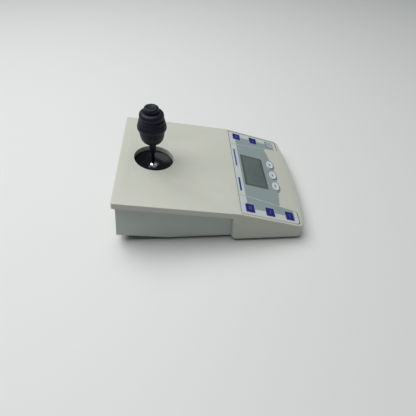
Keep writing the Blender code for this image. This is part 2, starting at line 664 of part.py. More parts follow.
def make_gimbal(frames, looks):
    pivot = frames["pivot"]
    dark = looks["dark_plastic"]
    bail("fore_aft_bail", FORE_AFT_REACH, FORE_AFT_DEPTH, 0.0095, dark, frames["stick"], "X")
    bail("side_bail", SIDE_REACH, SIDE_DEPTH, 0.0130, dark, pivot, "Y")
    inside = (FORE_AFT_REACH + BAIL_THICKNESS + FRAME_GAP, SIDE_REACH + BAIL_THICKNESS + FRAME_GAP)
    low, high = -0.006, PIVOT_DEPTH - COLLAR_DEPTH - 2 * GAP - DISH_THICKNESS
    outline = rectangle(2 * (inside[0] + FRAME_WALL), 2 * (inside[1] + FRAME_WALL))
    frame = add_object("gimbal_frame", prism(outline, low, high), looks["white_plastic"], pivot)
    for i, (x, y) in enumerate(frame_posts()):
        post = prism(ellipse(*[2 * BOSS_RADIUS] * 2, x, y, 12), low, PIVOT_DEPTH - COLLAR_DEPTH - GAP)
        join(frame, add_object(f"gimbal_post_{i}", post, None, pivot))
    window = prism(rectangle(2 * inside[0], 2 * inside[1]), -0.02, 0.02)
    cut(frame, add_object("gimbal_window", window, None, pivot))
    for axis, reach in (("X", inside[0]), ("Y", inside[1])):
        circle = ellipse(*[2 * (TRUNNION_RADIUS + GAP)] * 2, segments=16)
        bore = prism(circle, -reach - 0.01, reach + 0.01, axis)
        cut(frame, add_object(f"gimbal_bore_{axis}", bore, None, pivot))
    for i, (x, y) in enumerate(frame_posts()):
        hole = prism(ellipse(*[2 * (SCREW_RADIUS + GAP)] * 2, x, y, 12), -0.02, 0.02)
        cut(frame, add_object(f"gimbal_hole_{i}", hole, None, pivot))
        screw(f"joystick_screw_{i + 1}", (x, y, low - GAP - 0.001), 0.019, 0.0028, looks["steel"], pivot)
    start = inside[0] + FRAME_WALL + GAP
    for name, axis, side, offset in (("fore_aft_sensor", "X", 1, start),
                                     ("side_sensor", "Y", -1, inside[1] + FRAME_WALL + GAP)):
        circle = ellipse(*[2 * POT_RADIUS] * 2, segments=24)
        body = prism(circle, side * offset, side * (offset + POT_LENGTH), axis)
        add_object(name, body, looks["sensor"], pivot)


def turned(name, points, look, parent, segments=ROUND):
    """A turned piece on the stick, whose heights are measured from the pivot."""
    return add_object(name, lathe(points, segments), look, parent)


def make_stick(frames, looks):
    stick = frames["stick"]
    start = GRIP_START
    bore = ROD_RADIUS + GAP
    side = math.sqrt(BALL_RADIUS ** 2 - bore ** 2)
    ball = arc_profile(BALL_RADIUS, -side, side, 9)
    turned("pivot_ball", ball, looks["chrome"], stick, 20)
    rod_top = start + 0.034
    turned("joystick_rod", [(0, -ROD_BELOW), (ROD_RADIUS - 0.0006, -ROD_BELOW),
                            (ROD_RADIUS, -ROD_BELOW + 0.0008), (ROD_RADIUS, rod_top), (0, rod_top)],
           looks["rod"], stick, 16)
    turned("stem_sleeve", [(bore, SLEEVE_START), (SLEEVE_RADIUS - 0.0006, SLEEVE_START),
                           (SLEEVE_RADIUS, SLEEVE_START + 0.0006), (SLEEVE_RADIUS, start + 0.006),
                           (bore, start + 0.006)], looks["grip"], stick, 24)
    socket = SLEEVE_RADIUS + GAP
    hub = 0.0080
    turned("grip_base", [(socket, start), (0.0091, start + 0.0024), (0.0134, start + 0.0060),
                         (0.0159, start + 0.0112), (0.0168, start + 0.0170), (0.0176, start + 0.0218),
                         (hub, start + 0.0218), (hub, start + 0.0396), (bore, start + 0.0396),
                         (bore, start + 0.0066), (socket, start + 0.0066)], looks["grip"], stick)
    turned("grip_dial", [(hub + GAP, start + 0.0222), (0.0182, start + 0.0222), (0.0198, start + 0.0262),
                         (0.0198, start + 0.0290), (0.0186, start + 0.0330), (0.0174, start + 0.0374),
                         (0.0166, start + 0.0392), (hub + GAP, start + 0.0392)], looks["grip"], stick)
    well = 0.0100
    turned("grip_head", [(0.0, start + 0.0400), (0.0163, start + 0.0400), (0.0165, start + 0.0440),
                         (0.0161, start + 0.0462), (0.0150, start + 0.0482), (0.0118, start + 0.0494),
                         (well, start + 0.0494), (well, start + 0.0468), (0.0056, start + 0.0468),
                         (0.0056, start + 0.0420), (0.0, start + 0.0420)], looks["grip"], stick)


def make_button(frames, looks):
    stick = frames["stick"]
    start = GRIP_START
    stem = start + 0.0420 + BUTTON_TRAVEL + GAP
    turned("top_button", [(0, stem), (0.0020, stem), (0.0020, start + 0.0490),
                          (0.0095, start + 0.0490), (0.0097, start + 0.0545), (0.0088, start + 0.0560),
                          (0.0060, start + 0.0563), (0.0022, start + 0.0557), (0, start + 0.0555)],
           looks["grip"], stick, 28)
    turns, radius, wire = 4, 0.0040, 0.00035
    low, high = start + 0.0420 + GAP + wire, start + 0.0490 - GAP - wire
    curve = bpy.data.curves.new("button_spring", "CURVE")
    curve.dimensions = "3D"
    curve.bevel_depth = wire
    curve.bevel_resolution = 1
    curve.use_fill_caps = True
    steps = turns * 10
    spline = curve.splines.new("POLY")
    spline.points.add(steps)
    for i, point in enumerate(spline.points):
        angle = 2 * math.pi * turns * i / steps
        point.co = (radius * math.cos(angle), radius * math.sin(angle), low + (high - low) * i / steps, 1.0)
    spring = bpy.data.objects.new("button_spring", curve)
    bpy.context.collection.objects.link(spring)
    spring.parent = stick
    curve.materials.append(looks["steel"])


# ---------------------------------------------------------------- electronics and the back

def board_height():
    return UNDERSIDE + HOUSING_WALL + STANDOFF


def board_screw_places():
    across, along = MAIN_BOARD[0] / 2 - 0.006, MAIN_BOARD[1] / 2 - 0.006
    return [(sx * across, MAIN_BOARD_Y + sy * along) for sy in (-1, 1) for sx in (-1, 1)]


def make_main_board(frames, looks):
    root = frames["console"]
    height = board_height()
    outline = rectangle(*MAIN_BOARD, 0, MAIN_BOARD_Y)
    board = add_object("main_board", prism(outline, height, height + BOARD_THICKNESS), looks["board"], root)
    chips = ((-0.045, 0.010, 0.024, 0.024, 0.003), (0.000, 0.012, 0.034, 0.014, 0.004),
             (0.045, 0.012, 0.020, 0.020, 0.009), (-0.020, -0.020, 0.030, 0.006, 0.008))
    for i, (x, y, wide, deep, tall) in enumerate(chips):
        chip = prism(rectangle(wide, deep, x, MAIN_BOARD_Y + y), height + 0.001,
                     height + BOARD_THICKNESS + tall)
        join(board, add_object(f"chip_{i}", chip, None, root))
    for i, (x, y) in enumerate(board_screw_places()):
        hole = prism(ellipse(*[2 * (SCREW_RADIUS + GAP)] * 2, x, y, 12), height - 0.01, height + 0.01)
        cut(board, add_object(f"board_hole_{i}", hole, None, root))
        top = height + BOARD_THICKNESS + GAP + 0.0010
        turn = empty(f"board_screw_place_{i}", (x, y, top), root, math.pi)
        screw(f"board_screw_{i + 1}", (0, 0, 0), 0.006, 0.0026, looks["steel"], turn)


def make_ribbon(frames, looks):
    """A flat ribbon cable from the main board's header up to the underside of the keypad board."""
    root = frames["console"]
    start_z = board_height() + BOARD_THICKNESS + 0.008 + GAP
    start_y = MAIN_BOARD_Y - 0.020
    end_down = 0.020
    depth = -board_top() + BOARD_THICKNESS + GAP
    end_y = -end_down * math.cos(PANEL_SLOPE) + depth * math.sin(PANEL_SLOPE)
    end_z = BEND_HEIGHT - end_down * math.sin(PANEL_SLOPE) - depth * math.cos(PANEL_SLOPE)
    points = [Vector((start_y, start_z)), Vector((start_y, start_z + 0.006)),
              Vector((end_y + 0.004, end_z - 0.010)), Vector((end_y, end_z))]
    steps = 10
    path = []
    for i in range(steps + 1):
        t = i / steps
        weights = ((1 - t) ** 3, 3 * t * (1 - t) ** 2, 3 * t * t * (1 - t), t ** 3)
        path.append(sum((p * w for p, w in zip(points, weights)), Vector((0, 0))))
    half = 0.0004
    near, far = [], []
    for i, point in enumerate(path):
        along = (path[min(i + 1, steps)] - path[max(i - 1, 0)]).normalized()
        across = Vector((-along.y, along.x)) * half
        near.append(tuple(point - across))
        far.append(tuple(point + across))
    outline = near + far[::-1]
    add_object("ribbon_cable", prism(outline, -0.030, -0.008, "X"), looks["ribbon"], root)


def port_places():
    """Name, place across, size and shape of each fitting, spread evenly along the back wall."""
    fittings = [("motor_socket", (0.039, 0.0125), "plate"), ("serial_socket", (0.031, 0.0125), "plate"),
                ("power_inlet", (0.016, 0.016), "round"), ("power_switch", (0.013, 0.019), "plate")]
    room = 2 * (HALF - SIDE_RECESS - HOUSING_WALL)
    space = (room - sum(size[0] + PORT_FLANGE for _, size, _ in fittings)) / (len(fittings) + 1)
    places = []
    edge = -room / 2
    for name, size, kind in fittings:
        middle = edge + space + (size[0] + PORT_FLANGE) / 2
        places.append((name, middle, size, kind))
        edge = middle + (size[0] + PORT_FLANGE) / 2
    return places


def port_outline(size, kind, gap):
    if kind == "round":
        return ellipse(size[0] + 2 * gap, size[1] + 2 * gap, segments=24)
    return rounded(rectangle(size[0] + 2 * gap, size[1] + 2 * gap), 0.0015, 3)


def make_ports(frames, looks):
    back = frames["back"]
    for name, x, size, kind in port_places():
        body = add_object(name, prism(port_outline(size, kind, 0), -0.011, 0.0018),
                          looks["socket"], back, (x, 0, 0))
        flange = prism(port_outline((size[0] + PORT_FLANGE, size[1] + 0.003), kind, 0), GAP, 0.0014)
        join(body, add_object(f"{name}_flange", flange, None, back, (x, 0, 0)))
        if name == "power_switch":
            slot = prism(rectangle(size[0] - 0.0035, size[1] - 0.0035), -0.007, 0.01)
            cut(body, add_object("switch_slot", slot, None, back, (x, 0, 0)))
            make_rocker(frames, looks, x, size)
        elif kind == "plate":
            plug = rounded(rectangle(size[0] - 0.012, size[1] - 0.0035), 0.0025, 4)
            shell = prism(plug, 0.001, PORT_PROUD)
            join(body, add_object(f"{name}_shell", shell, None, back, (x, 0, 0)))


def make_rocker(frames, looks, x, size):
    """The switch's rocker, a bent bar that tips about a pin along X, pushed in at its lower end."""
    wide = size[0] - 0.0035 - 2 * GAP
    tall = (size[1] - 0.0035) / 2 - 0.0009
    tip = 0.0016
    profile = [(-tall, -0.0010), (-tall, tip - 0.0012), (0.0, tip * 0.9), (tall, tip + 0.0016),
               (tall, -0.0002), (0.0025, -0.0040), (-0.0025, -0.0040)]
    tips = empty("rocker_pin", (x, 0, -0.0008), frames["back"])
    add_object("power_rocker", prism(profile, -wide / 2, wide / 2, "X"), looks["rubber"], tips)


# ---------------------------------------------------------------- the console

def make_looks():
    return {
        "cover": material("beige_cover", (0.52, 0.52, 0.46), 0.55),
        "housing": material("beige_housing", (0.48, 0.49, 0.44), 0.6),
        "rubber": material("black_rubber", (0.02, 0.02, 0.02), 0.8),
        "steel": material("screw_steel", (0.62, 0.62, 0.62), 0.35, 1.0),
        "overlay": material("grey_overlay", (0.30, 0.33, 0.34), 0.45),
        "glass": material("display_glass", (0.10, 0.12, 0.11), 0.15, 0.0, 0.6),
        "module": material("display_module", (0.10, 0.13, 0.11), 0.4),
        "board": material("circuit_board", (0.02, 0.16, 0.07), 0.45),
        "blue_key": material("blue_key", (0.015, 0.02, 0.20), 0.4),
        "white_key": material("white_key", (0.66, 0.68, 0.70), 0.45),
        "gloss_black": material("gloss_black", (0.01, 0.01, 0.012), 0.12),
        "white_plastic": material("white_plastic", (0.7, 0.7, 0.68), 0.5),
        "dark_plastic": material("dark_plastic", (0.05, 0.05, 0.05), 0.5),
        "chrome": material("chrome", (0.80, 0.80, 0.82), 0.08, 1.0),
        "rod": material("black_rod", (0.02, 0.02, 0.022), 0.4, 0.6),
        "grip": material("black_grip", (0.012, 0.012, 0.018), 0.55),
        "sensor": material("sensor_case", (0.03, 0.10, 0.25), 0.5),
        "ribbon": material("grey_ribbon", (0.35, 0.35, 0.36), 0.6),
        "socket": material("socket_black", (0.03, 0.03, 0.03), 0.45),
    }


def make_frames():
    """The empties that the pieces hang on: the console, its sloping faces, the joystick and the back."""
    profile = housing_profile(0.0, 0.0)
    low_back, high_back = profile[2], profile[3]
    share = (PORT_HEIGHT - low_back[1]) / (high_back[1] - low_back[1])
    wall_y = low_back[0] + (high_back[0] - low_back[0]) * share
    lean = math.atan2(low_back[0] - high_back[0], high_back[1] - low_back[1])
    rear = wall_y + PORT_PROUD * math.cos(lean)
    rim_back = TOP_LENGTH + RIM_DEPTH * math.sin(TOP_SLOPE)
    middle = (max(rear, rim_back, low_back[0]) - PANEL_LENGTH) / 2
    console = empty("console", (0.0, -middle, 0.0))
    top = empty("top_face", (0.0, 0.0, BEND_HEIGHT), console, TOP_SLOPE)
    well = empty("well", (0.0, (TOP_LENGTH - HOLE_BACK) / math.cos(TOP_SLOPE), 0.0), top)
    pivot = empty("pivot", (0.0, 0.0, -PIVOT_DEPTH), well)
    return {
        "console": console,
        "well": well,
        "pivot": pivot,
        "stick": empty("stick", (0.0, 0.0, 0.0), pivot, -STICK_LEAN),
        "panel": empty("panel_face", (0.0, 0.0, BEND_HEIGHT), console, PANEL_SLOPE),
        "back": back_frame(console, wall_y, lean),
    }


def back_frame(console, wall_y, lean):
    """Local Z points out of the back wall, and local X runs along it."""
    back = empty("back_wall", (0.0, wall_y, PORT_HEIGHT), console)
    back.rotation_euler = (-math.pi / 2 + lean, 0.0, 0.0)
    return back


def main():
    for old in list(bpy.data.objects):
        bpy.data.objects.remove(old)
    looks = make_looks()
    frames = make_frames()
    cover = make_top_cover(frames, looks)
    pierce_cover_for_joystick(cover, frames)
    pierce_cover_for_panel(cover, frames)
    make_housing(frames, looks)
    make_feet(frames, looks)
    make_cover_screws(frames, looks)
    make_overlays(frames, looks)
    make_display(frames, looks)
    make_keypad_board(frames, looks)
    make_keys(frames, looks)
    make_dish(frames, looks)
    make_gimbal(frames, looks)
    make_stick(frames, looks)
    make_button(frames, looks)
    make_main_board(frames, looks)
    make_ribbon(frames, looks)
    make_ports(frames, looks)


main()
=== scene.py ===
import contextlib
import json
import math
import bpy
from mathutils import Matrix, Vector


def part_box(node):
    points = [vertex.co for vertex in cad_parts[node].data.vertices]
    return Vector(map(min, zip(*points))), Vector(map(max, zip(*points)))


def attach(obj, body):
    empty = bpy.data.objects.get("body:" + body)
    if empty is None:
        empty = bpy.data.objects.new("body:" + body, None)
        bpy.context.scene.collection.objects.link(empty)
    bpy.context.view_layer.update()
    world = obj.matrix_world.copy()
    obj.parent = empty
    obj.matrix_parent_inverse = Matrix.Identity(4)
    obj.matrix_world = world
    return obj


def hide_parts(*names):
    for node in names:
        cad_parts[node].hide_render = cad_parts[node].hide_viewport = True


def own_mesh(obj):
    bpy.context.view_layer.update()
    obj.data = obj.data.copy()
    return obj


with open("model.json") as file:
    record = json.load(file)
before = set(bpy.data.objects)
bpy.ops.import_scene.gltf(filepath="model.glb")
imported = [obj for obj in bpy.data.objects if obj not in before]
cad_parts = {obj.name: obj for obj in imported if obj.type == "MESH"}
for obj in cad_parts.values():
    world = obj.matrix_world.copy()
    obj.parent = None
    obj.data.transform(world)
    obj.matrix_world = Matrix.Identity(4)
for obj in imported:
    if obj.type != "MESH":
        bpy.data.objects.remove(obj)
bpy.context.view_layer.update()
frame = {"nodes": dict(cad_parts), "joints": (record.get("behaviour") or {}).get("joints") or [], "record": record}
bpy.context.scene.view_settings.view_transform = "Standard"
joints = {joint["name"]: joint for joint in frame["joints"]}

# the console's own sizes, in metres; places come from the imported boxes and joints
console = {
    "topLength": 0.1632,      # bend to back edge, level
    "panelLength": 0.1000,    # bend to the middle of the front edge, level
    "frontBow": 0.0105,
    "wall": 0.0025,
    "rimDepth": 0.0090,       # how far the cover hangs down at the sides and back
    "blockBack": 0.0090,      # the deep front part ends this far behind the bend
    "underside": 0.0055,
    "sideRecess": 0.0080,
    "fit": 0.0003,            # clearance between neighbouring pieces
    "pivotDepth": 0.0160,     # the ball's centre under the top surface
    "backSlope": 0.1455,      # how far the back wall leans for each metre of height
    "pinDepth": 0.0008,       # the rocker's pin under the back wall's face
}
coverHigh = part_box("top_cover")[1]
halfWidth = coverHigh[0]
topAlong = Vector(joints["side_bail_turn"]["axis"])
topSlope = math.atan2(topAlong.z, topAlong.y)
keyPress = Vector(joints["left_key_1_press"]["axis"])
panelSlope = math.atan2(keyPress.y, -keyPress.z)
bend = Vector((0, coverHigh[1] - console["rimDepth"] * math.sin(topSlope) - console["topLength"],
               coverHigh[2] - console["topLength"] * math.tan(topSlope)))
topUp = Vector((0, -math.sin(topSlope), math.cos(topSlope)))
panelUp = Vector((0, -math.sin(panelSlope), math.cos(panelSlope)))
panelFrame = Matrix.Translation(bend) @ Matrix.Rotation(panelSlope, 4, "X")

pivot = Vector(joints["stick_fore_aft"]["pos_m"])
stickAxis = Vector(joints["dial_turn"]["axis"])
dishFrame = Matrix.Translation(pivot) @ Matrix.Rotation(topSlope, 4, "X")
wellFrame = Matrix.Translation(pivot + topUp * console["pivotDepth"]) @ Matrix.Rotation(topSlope, 4, "X")
stickFrame = Matrix.Translation(pivot) @ Matrix.Rotation(math.atan2(-stickAxis.y, stickAxis.z), 4, "X")

backLean = math.atan(console["backSlope"])
backOut = Vector((0, math.cos(backLean), math.sin(backLean)))
backPoint = Vector(joints["rocker_tip"]["pos_m"]) + backOut * console["pinDepth"]
backTurn = Matrix.Rotation(backLean - math.pi / 2, 4, "X")
backFrame = Matrix.Translation((0, backPoint.y, backPoint.z)) @ backTurn


# modelling helpers
def deselectAll():
    if bpy.context.mode != "OBJECT":
        bpy.ops.object.mode_set(mode="OBJECT")
    bpy.ops.object.select_all(action="DESELECT")


def makeActive(piece, *others):
    deselectAll()
    for chosen in (piece, *others):
        chosen.select_set(True)
    bpy.context.view_layer.objects.active = piece


# edit mode on one piece, with all of it selected or none of it
@contextlib.contextmanager
def editing(piece, choose="SELECT"):
    makeActive(piece)
    bpy.ops.object.mode_set(mode="EDIT")
    bpy.ops.mesh.select_all(action=choose)
    yield
    bpy.ops.object.mode_set(mode="OBJECT")


def applyPlace(piece, place=None):
    makeActive(piece)
    if place is not None:
        piece.matrix_world = place @ piece.matrix_world
    bpy.ops.object.transform_apply(location=True, rotation=True, scale=True)
    return piece


def addBlock(name, low, high):
    low, high = Vector(low), Vector(high)
    deselectAll()
    bpy.ops.mesh.primitive_cube_add(size=1, location=(low + high) / 2)
    block = bpy.context.object
    block.name = name
    block.scale = high - low
    return applyPlace(block)


# a block centred on a place in its own plane, with rounded upright corners if wanted
def addSlab(name, size, x, y, low, high, corner=0.0):
    wide, deep = size[0] / 2, size[1] / 2
    slab = addBlock(name, (x - wide, y - deep, low), (x + wide, y + deep, high))
    if corner:
        roundUprights(slab, corner, 4)
    return slab


def addDrum(name, radius, low, high, centre=(0, 0), sides=64):
    deselectAll()
    bpy.ops.mesh.primitive_cylinder_add(vertices=sides, radius=radius, depth=high - low,
                                        location=(centre[0], centre[1], (low + high) / 2))
    drum = bpy.context.object
    drum.name = name
    return applyPlace(drum)


def slicePiece(piece, point, outwards):
    with editing(piece):
        bpy.ops.mesh.bisect(plane_co=point, plane_no=outwards, use_fill=True, clear_outer=True)


def bevelWhere(piece, wanted, width, segments=3):
    with editing(piece, "DESELECT"):
        bpy.ops.mesh.select_mode(type="EDGE")
    points = piece.data.vertices
    for edge in piece.data.edges:
        edge.select = wanted(points[edge.vertices[0]].co, points[edge.vertices[1]].co)
    bpy.ops.object.mode_set(mode="EDIT")
    bpy.ops.mesh.bevel(offset=width, segments=segments, affect="EDGES", clamp_overlap=True)
    bpy.ops.object.mode_set(mode="OBJECT")


def roundUprights(piece, width, segments=4, where=lambda a: True):
    upright = lambda a, b: (a.xy - b.xy).length < 1e-6 and where(a)
    bevelWhere(piece, upright, width, segments)


def combine(piece, other, operation):
    change = piece.modifiers.new("combine", "BOOLEAN")
    change.operation = operation
    change.object = other
    makeActive(piece)
    bpy.ops.object.modifier_apply(modifier=change.name)
    bpy.data.objects.remove(other)


def joinPieces(pieces):
    makeActive(*pieces)
    bpy.ops.object.join()
    return pieces[0]


def cutAll(piece, cutters):
    combine(piece, joinPieces(cutters), "DIFFERENCE")


def roundEdges(piece, width, segments=2, angle=30):
    bevel = piece.modifiers.new("round", "BEVEL")
    bevel.width = width
    bevel.segments = segments
    bevel.limit_method = "ANGLE"
    bevel.angle_limit = math.radians(angle)
    makeActive(piece)
    bpy.ops.object.modifier_apply(modifier=bevel.name)


def mergeDoubles(piece):
    with editing(piece):
        bpy.ops.mesh.remove_doubles(threshold=0.000002)
        bpy.ops.mesh.dissolve_limited(angle_limit=math.radians(0.4))


def faceOutwards(piece):
    with editing(piece):
        bpy.ops.mesh.normals_make_consistent(inside=False)


# a closed profile of (radius, height) points is spun about Z
def spinPiece(name, profile, sides=72):
    deselectAll()
    bpy.ops.mesh.primitive_circle_add(vertices=len(profile), radius=0.01, fill_type="NOTHING")
    piece = bpy.context.object
    piece.name = name
    for point, (radius, height) in zip(piece.data.vertices, profile):
        point.co = (radius, 0, height)
    with editing(piece):
        bpy.ops.mesh.spin(steps=sides, angle=2 * math.pi, center=(0, 0, 0), axis=(0, 0, 1))
        bpy.ops.mesh.select_all(action="SELECT")
        bpy.ops.mesh.remove_doubles(threshold=0.000005)
        bpy.ops.mesh.dissolve_degenerate(threshold=0.000001)
        bpy.ops.mesh.select_all(action="SELECT")
        bpy.ops.mesh.delete_loose(use_verts=True, use_edges=True, use_faces=False)
    faceOutwards(piece)
    return piece


# an oval face is drawn up through (half width, half depth, height) rings
def risePiece(name, rings, sides=48):
    deselectAll()
    wide, deep, height = rings[0]
    bpy.ops.mesh.primitive_circle_add(vertices=sides, radius=1, location=(0, 0, height), fill_type="NGON")
    piece = bpy.context.object
    piece.name = name
    piece.scale = (wide, deep, 1)
    applyPlace(piece)
    with editing(piece):
        for newWide, newDeep, newHeight in rings[1:]:
            rise = {"value": (0, 0, newHeight - height)}
            bpy.ops.mesh.extrude_region_move(TRANSFORM_OT_translate=rise)
            bpy.ops.transform.resize(value=(newWide / wide, newDeep / deep, 1), center_override=(0, 0, 0))
            wide, deep, height = newWide, newDeep, newHeight
    faceOutwards(piece)
    return piece


def copyNode(node, name):
    source = bpy.data.objects[node]
    piece = source.copy()
    piece.data = source.data.copy()
    piece.name = name
    bpy.context.scene.collection.objects.link(piece)
    mergeDoubles(piece)
    return piece


def pieceName(node):
    words = node.split("_")
    return words[0] + "".join(word.title() for word in words[1:])


nodeSlots = {part["node"]: part["material_slot"] for part in frame["record"]["subparts"]}


# a finished piece is put in place, shaded, and takes over from its node
def finishPiece(piece, finish, node, body="root", place=None, angle=32):
    if place is not None:
        applyPlace(piece, place)
    piece.data.materials.clear()
    piece.data.materials.append(finish)
    makeActive(piece)
    bpy.ops.object.shade_smooth_by_angle(angle=math.radians(angle))
    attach(piece, body)
    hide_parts(node)


# node helpers: a socket is fed a link or a constant, whichever is given
def feed(tree, socket, value):
    if isinstance(value, bpy.types.NodeSocket):
        tree.links.new(value, socket)
    elif value is not None:
        socket.default_value = value


def feedNamed(tree, node, values):
    for label, value in values.items():
        feed(tree, node.inputs[label.replace("_", " ")], value)
    return node


def addNode(tree, kind, *values, **named):
    node = tree.nodes.new("ShaderNode" + kind)
    for socket, value in zip(node.inputs, values):
        feed(tree, socket, value)
    return feedNamed(tree, node, named)


def addMath(tree, operation, first, second=None, clamp=False):
    node = addNode(tree, "Math", first, second)
    node.operation = operation
    node.use_clamp = clamp
    return node.outputs[0]


def addNoise(tree, vector, scale, detail=3.0, roughness=0.55):
    noise = addNode(tree, "TexNoise", Vector=vector, Scale=scale, Detail=detail, Roughness=roughness)
    return noise.outputs["Fac"]


def splitVector(tree, vector):
    return addNode(tree, "SeparateXYZ", vector).outputs


def splitNormal(tree):
    return splitVector(tree, addNode(tree, "NewGeometry").outputs["Normal"])


def mixColours(tree, factor, first, second):
    node = tree.nodes.new("ShaderNodeMix")
    node.data_type = "RGBA"
    for index, value in ((0, factor), (6, first), (7, second)):
        feed(tree, node.inputs[index], value)
    return node.outputs[2]


def useGroup(tree, group, vector, **values):
    node = tree.nodes.new("ShaderNodeGroup")
    node.node_tree = group
    return feedNamed(tree, node, {"Vector": vector, **values})


# shared effects, each a node group that reads a vector and some named floats
def newGroup(name, inputs, outputs):
    group = bpy.data.node_groups.new(name, "ShaderNodeTree")
    group.interface.new_socket(name="Vector", in_out="INPUT", socket_type="NodeSocketVector")
    for label, value in inputs.items():
        socket = group.interface.new_socket(name=label, in_out="INPUT", socket_type="NodeSocketFloat")
        socket.default_value = value
    for label in outputs:
        group.interface.new_socket(name=label, in_out="OUTPUT", socket_type="NodeSocketFloat")
    return group, group.nodes.new("NodeGroupInput").outputs, group.nodes.new("NodeGroupOutput").inputs


# a fine moulded grain with small pits, and soft clouds for two close tones
def makeGrainGroup():
    group, given, result = newGroup("mouldedGrain", {"Grain Scale": 1600.0, "Cloud Scale": 18.0},
                                    ("Height", "Cloud", "Speck"))
    fine = addNoise(group, given["Vector"], given["Grain Scale"], 2.0, 0.6)
    cells = addNode(group, "TexVoronoi", Vector=given["Vector"], Scale=given["Grain Scale"])
    bumps = addMath(group, "MULTIPLY", cells.outputs["Distance"], 0.55)
    height = addMath(group, "ADD", addMath(group, "MULTIPLY", fine, 0.45), bumps)
    group.links.new(height, result["Height"])
    group.links.new(addNoise(group, given["Vector"], given["Cloud Scale"], 4.0, 0.6), result["Cloud"])
    group.links.new(fine, result["Speck"])
    return group


# 1 inside a box about a centre, 0 outside, with a soft edge
def makeBoxGroup():
    group, given, result = newGroup(
        "printedArea", {"Centre X": 0.0, "Centre Y": 0.0, "Half X": 0.01, "Half Y": 0.01, "Soft": 0.0002},
        ("Mask",))
    place = splitVector(group, given["Vector"])
    sides = []
    for axis in "XY":
        away = addMath(group, "ABSOLUTE", addMath(group, "SUBTRACT", place[axis], given["Centre " + axis]))
        room = addMath(group, "SUBTRACT", given["Half " + axis], away)
        sides.append(addMath(group, "DIVIDE", room, given["Soft"], clamp=True))
    group.links.new(addMath(group, "MULTIPLY", *sides), result["Mask"])
    return group


# soft patches between a low and a high value, as handling leaves on a surface
def makeSmudgeGroup():
    group, given, result = newGroup("handledSurface", {"Scale": 35.0, "Low": 0.4, "High": 0.6}, ("Value",))
    patches = addNoise(group, given["Vector"], given["Scale"], 5.0, 0.65)
    spread = addNode(group, "MapRange", patches, From_Min=0.3, From_Max=0.7, To_Min=given["Low"],
                     To_Max=given["High"])
    group.links.new(spread.outputs[0], result["Value"])
    return group


mouldedGrain = makeGrainGroup()
printedArea = makeBoxGroup()
handledSurface = makeSmudgeGroup()


# screen values from 0 to 255 as linear light
def colour(*screen):
    linear = [c / 255 / 12.92 if c <= 10 else ((c / 255 + 0.055) / 1.055) ** 2.4 for c in screen]
    return (*linear, 1.0)


def dimmed(tone, share):
    return (*(c * share for c in tone[:3]), 1.0)


def newFinish(name, place=None):
    finish = bpy.data.materials.new(name)
    finish.use_nodes = True
    tree = finish.node_tree
    place = (place or Matrix.Identity(4)).inverted()
    mapping = addNode(tree, "Mapping", addNode(tree, "TexCoord").outputs["Object"],
                      Location=place.translation, Rotation=place.to_euler())
    return finish, tree, tree.nodes["Principled BSDF"], mapping.outputs["Vector"]


# how a finish ends: colour, gloss smudged by (scale, low, high), bump by (height, strength, distance)
def endFinish(tree, shader, vector, base, smudge, bump=None, specular=0.5):
    scale, low, high = smudge
    gloss = useGroup(tree, handledSurface, vector, Scale=scale, Low=low, High=high).outputs["Value"]
    feedNamed(tree, shader, {"Base Color": base, "Roughness": gloss, "Specular IOR Level": specular})
    if bump:
        height, strength, distance = bump
        relief = addNode(tree, "Bump", Strength=strength, Distance=distance, Height=height)
        tree.links.new(relief.outputs["Normal"], shader.inputs["Normal"])


# a moulded plastic: two close tones in soft clouds, a fine grain, and smudged gloss
def plasticFinish(name, light, dark, rough=(0.45, 0.58), grainScale=1500.0, strength=0.25, specular=0.4):
    finish, tree, shader, vector = newFinish(name)
    grain = useGroup(tree, mouldedGrain, vector, Grain_Scale=grainScale, Cloud_Scale=22.0).outputs
    light, dark = colour(*light), colour(*dark)
    base = mixColours(tree, grain["Cloud"], dark, light)
    speck = addNode(tree, "MapRange", grain["Speck"], From_Min=0.62, From_Max=0.72, To_Max=0.16)
    base = mixColours(tree, speck.outputs[0], base, dimmed(dark, 0.82))
    endFinish(tree, shader, vector, base, (42.0, *rough), (grain["Height"], strength, 0.00012), specular)
    return finish


def metalFinish(name, light, dark, rough=(0.2, 0.35), stretch=(1, 1, 1)):
    finish, tree, shader, vector = newFinish(name)
    lines = addNode(tree, "Mapping", vector, Scale=stretch).outputs["Vector"]
    grain = useGroup(tree, mouldedGrain, lines, Grain_Scale=900.0, Cloud_Scale=60.0).outputs
    base = mixColours(tree, grain["Cloud"], colour(*dark), colour(*light))
    endFinish(tree, shader, lines, base, (120.0, *rough), (grain["Speck"], 0.06, 0.00004))
    shader.inputs["Metallic"].default_value = 1.0
    return finish


blackRubber = plasticFinish("blackRubber", (38, 38, 40), (26, 26, 28), (0.7, 0.85), 900.0, 0.3, 0.25)
satinGrip = plasticFinish("satinGrip", (16, 20, 37), (11, 14, 28), (0.40, 0.56), 2200.0, 0.3, 0.32)
glossBlack = plasticFinish("glossBlack", (20, 23, 29), (12, 14, 19), (0.20, 0.34), 700.0, 0.03, 0.14)
whiteNylon = plasticFinish("whiteNylon", (222, 221, 214), (212, 211, 204), (0.42, 0.52), 1100.0, 0.15)
blackNylon = plasticFinish("blackNylon", (52, 52, 54), (40, 40, 42), (0.45, 0.6), 1100.0, 0.2)
sensorBlue = plasticFinish("sensorBlue", (40, 88, 150), (32, 74, 134), (0.42, 0.55), 1100.0, 0.12)
socketBlack = plasticFinish("socketBlack", (44, 44, 46), (34, 34, 36), (0.42, 0.56), 1500.0, 0.22)
chrome = metalFinish("chrome", (236, 236, 240), (222, 222, 228), (0.05, 0.1))
zincSteel = metalFinish("zincSteel", (196, 196, 198), (172, 172, 176), (0.28, 0.42), (1, 1, 6))
blackRod = metalFinish("blackRod", (64, 64, 70), (48, 48, 54), (0.3, 0.42), (1, 1, 8))
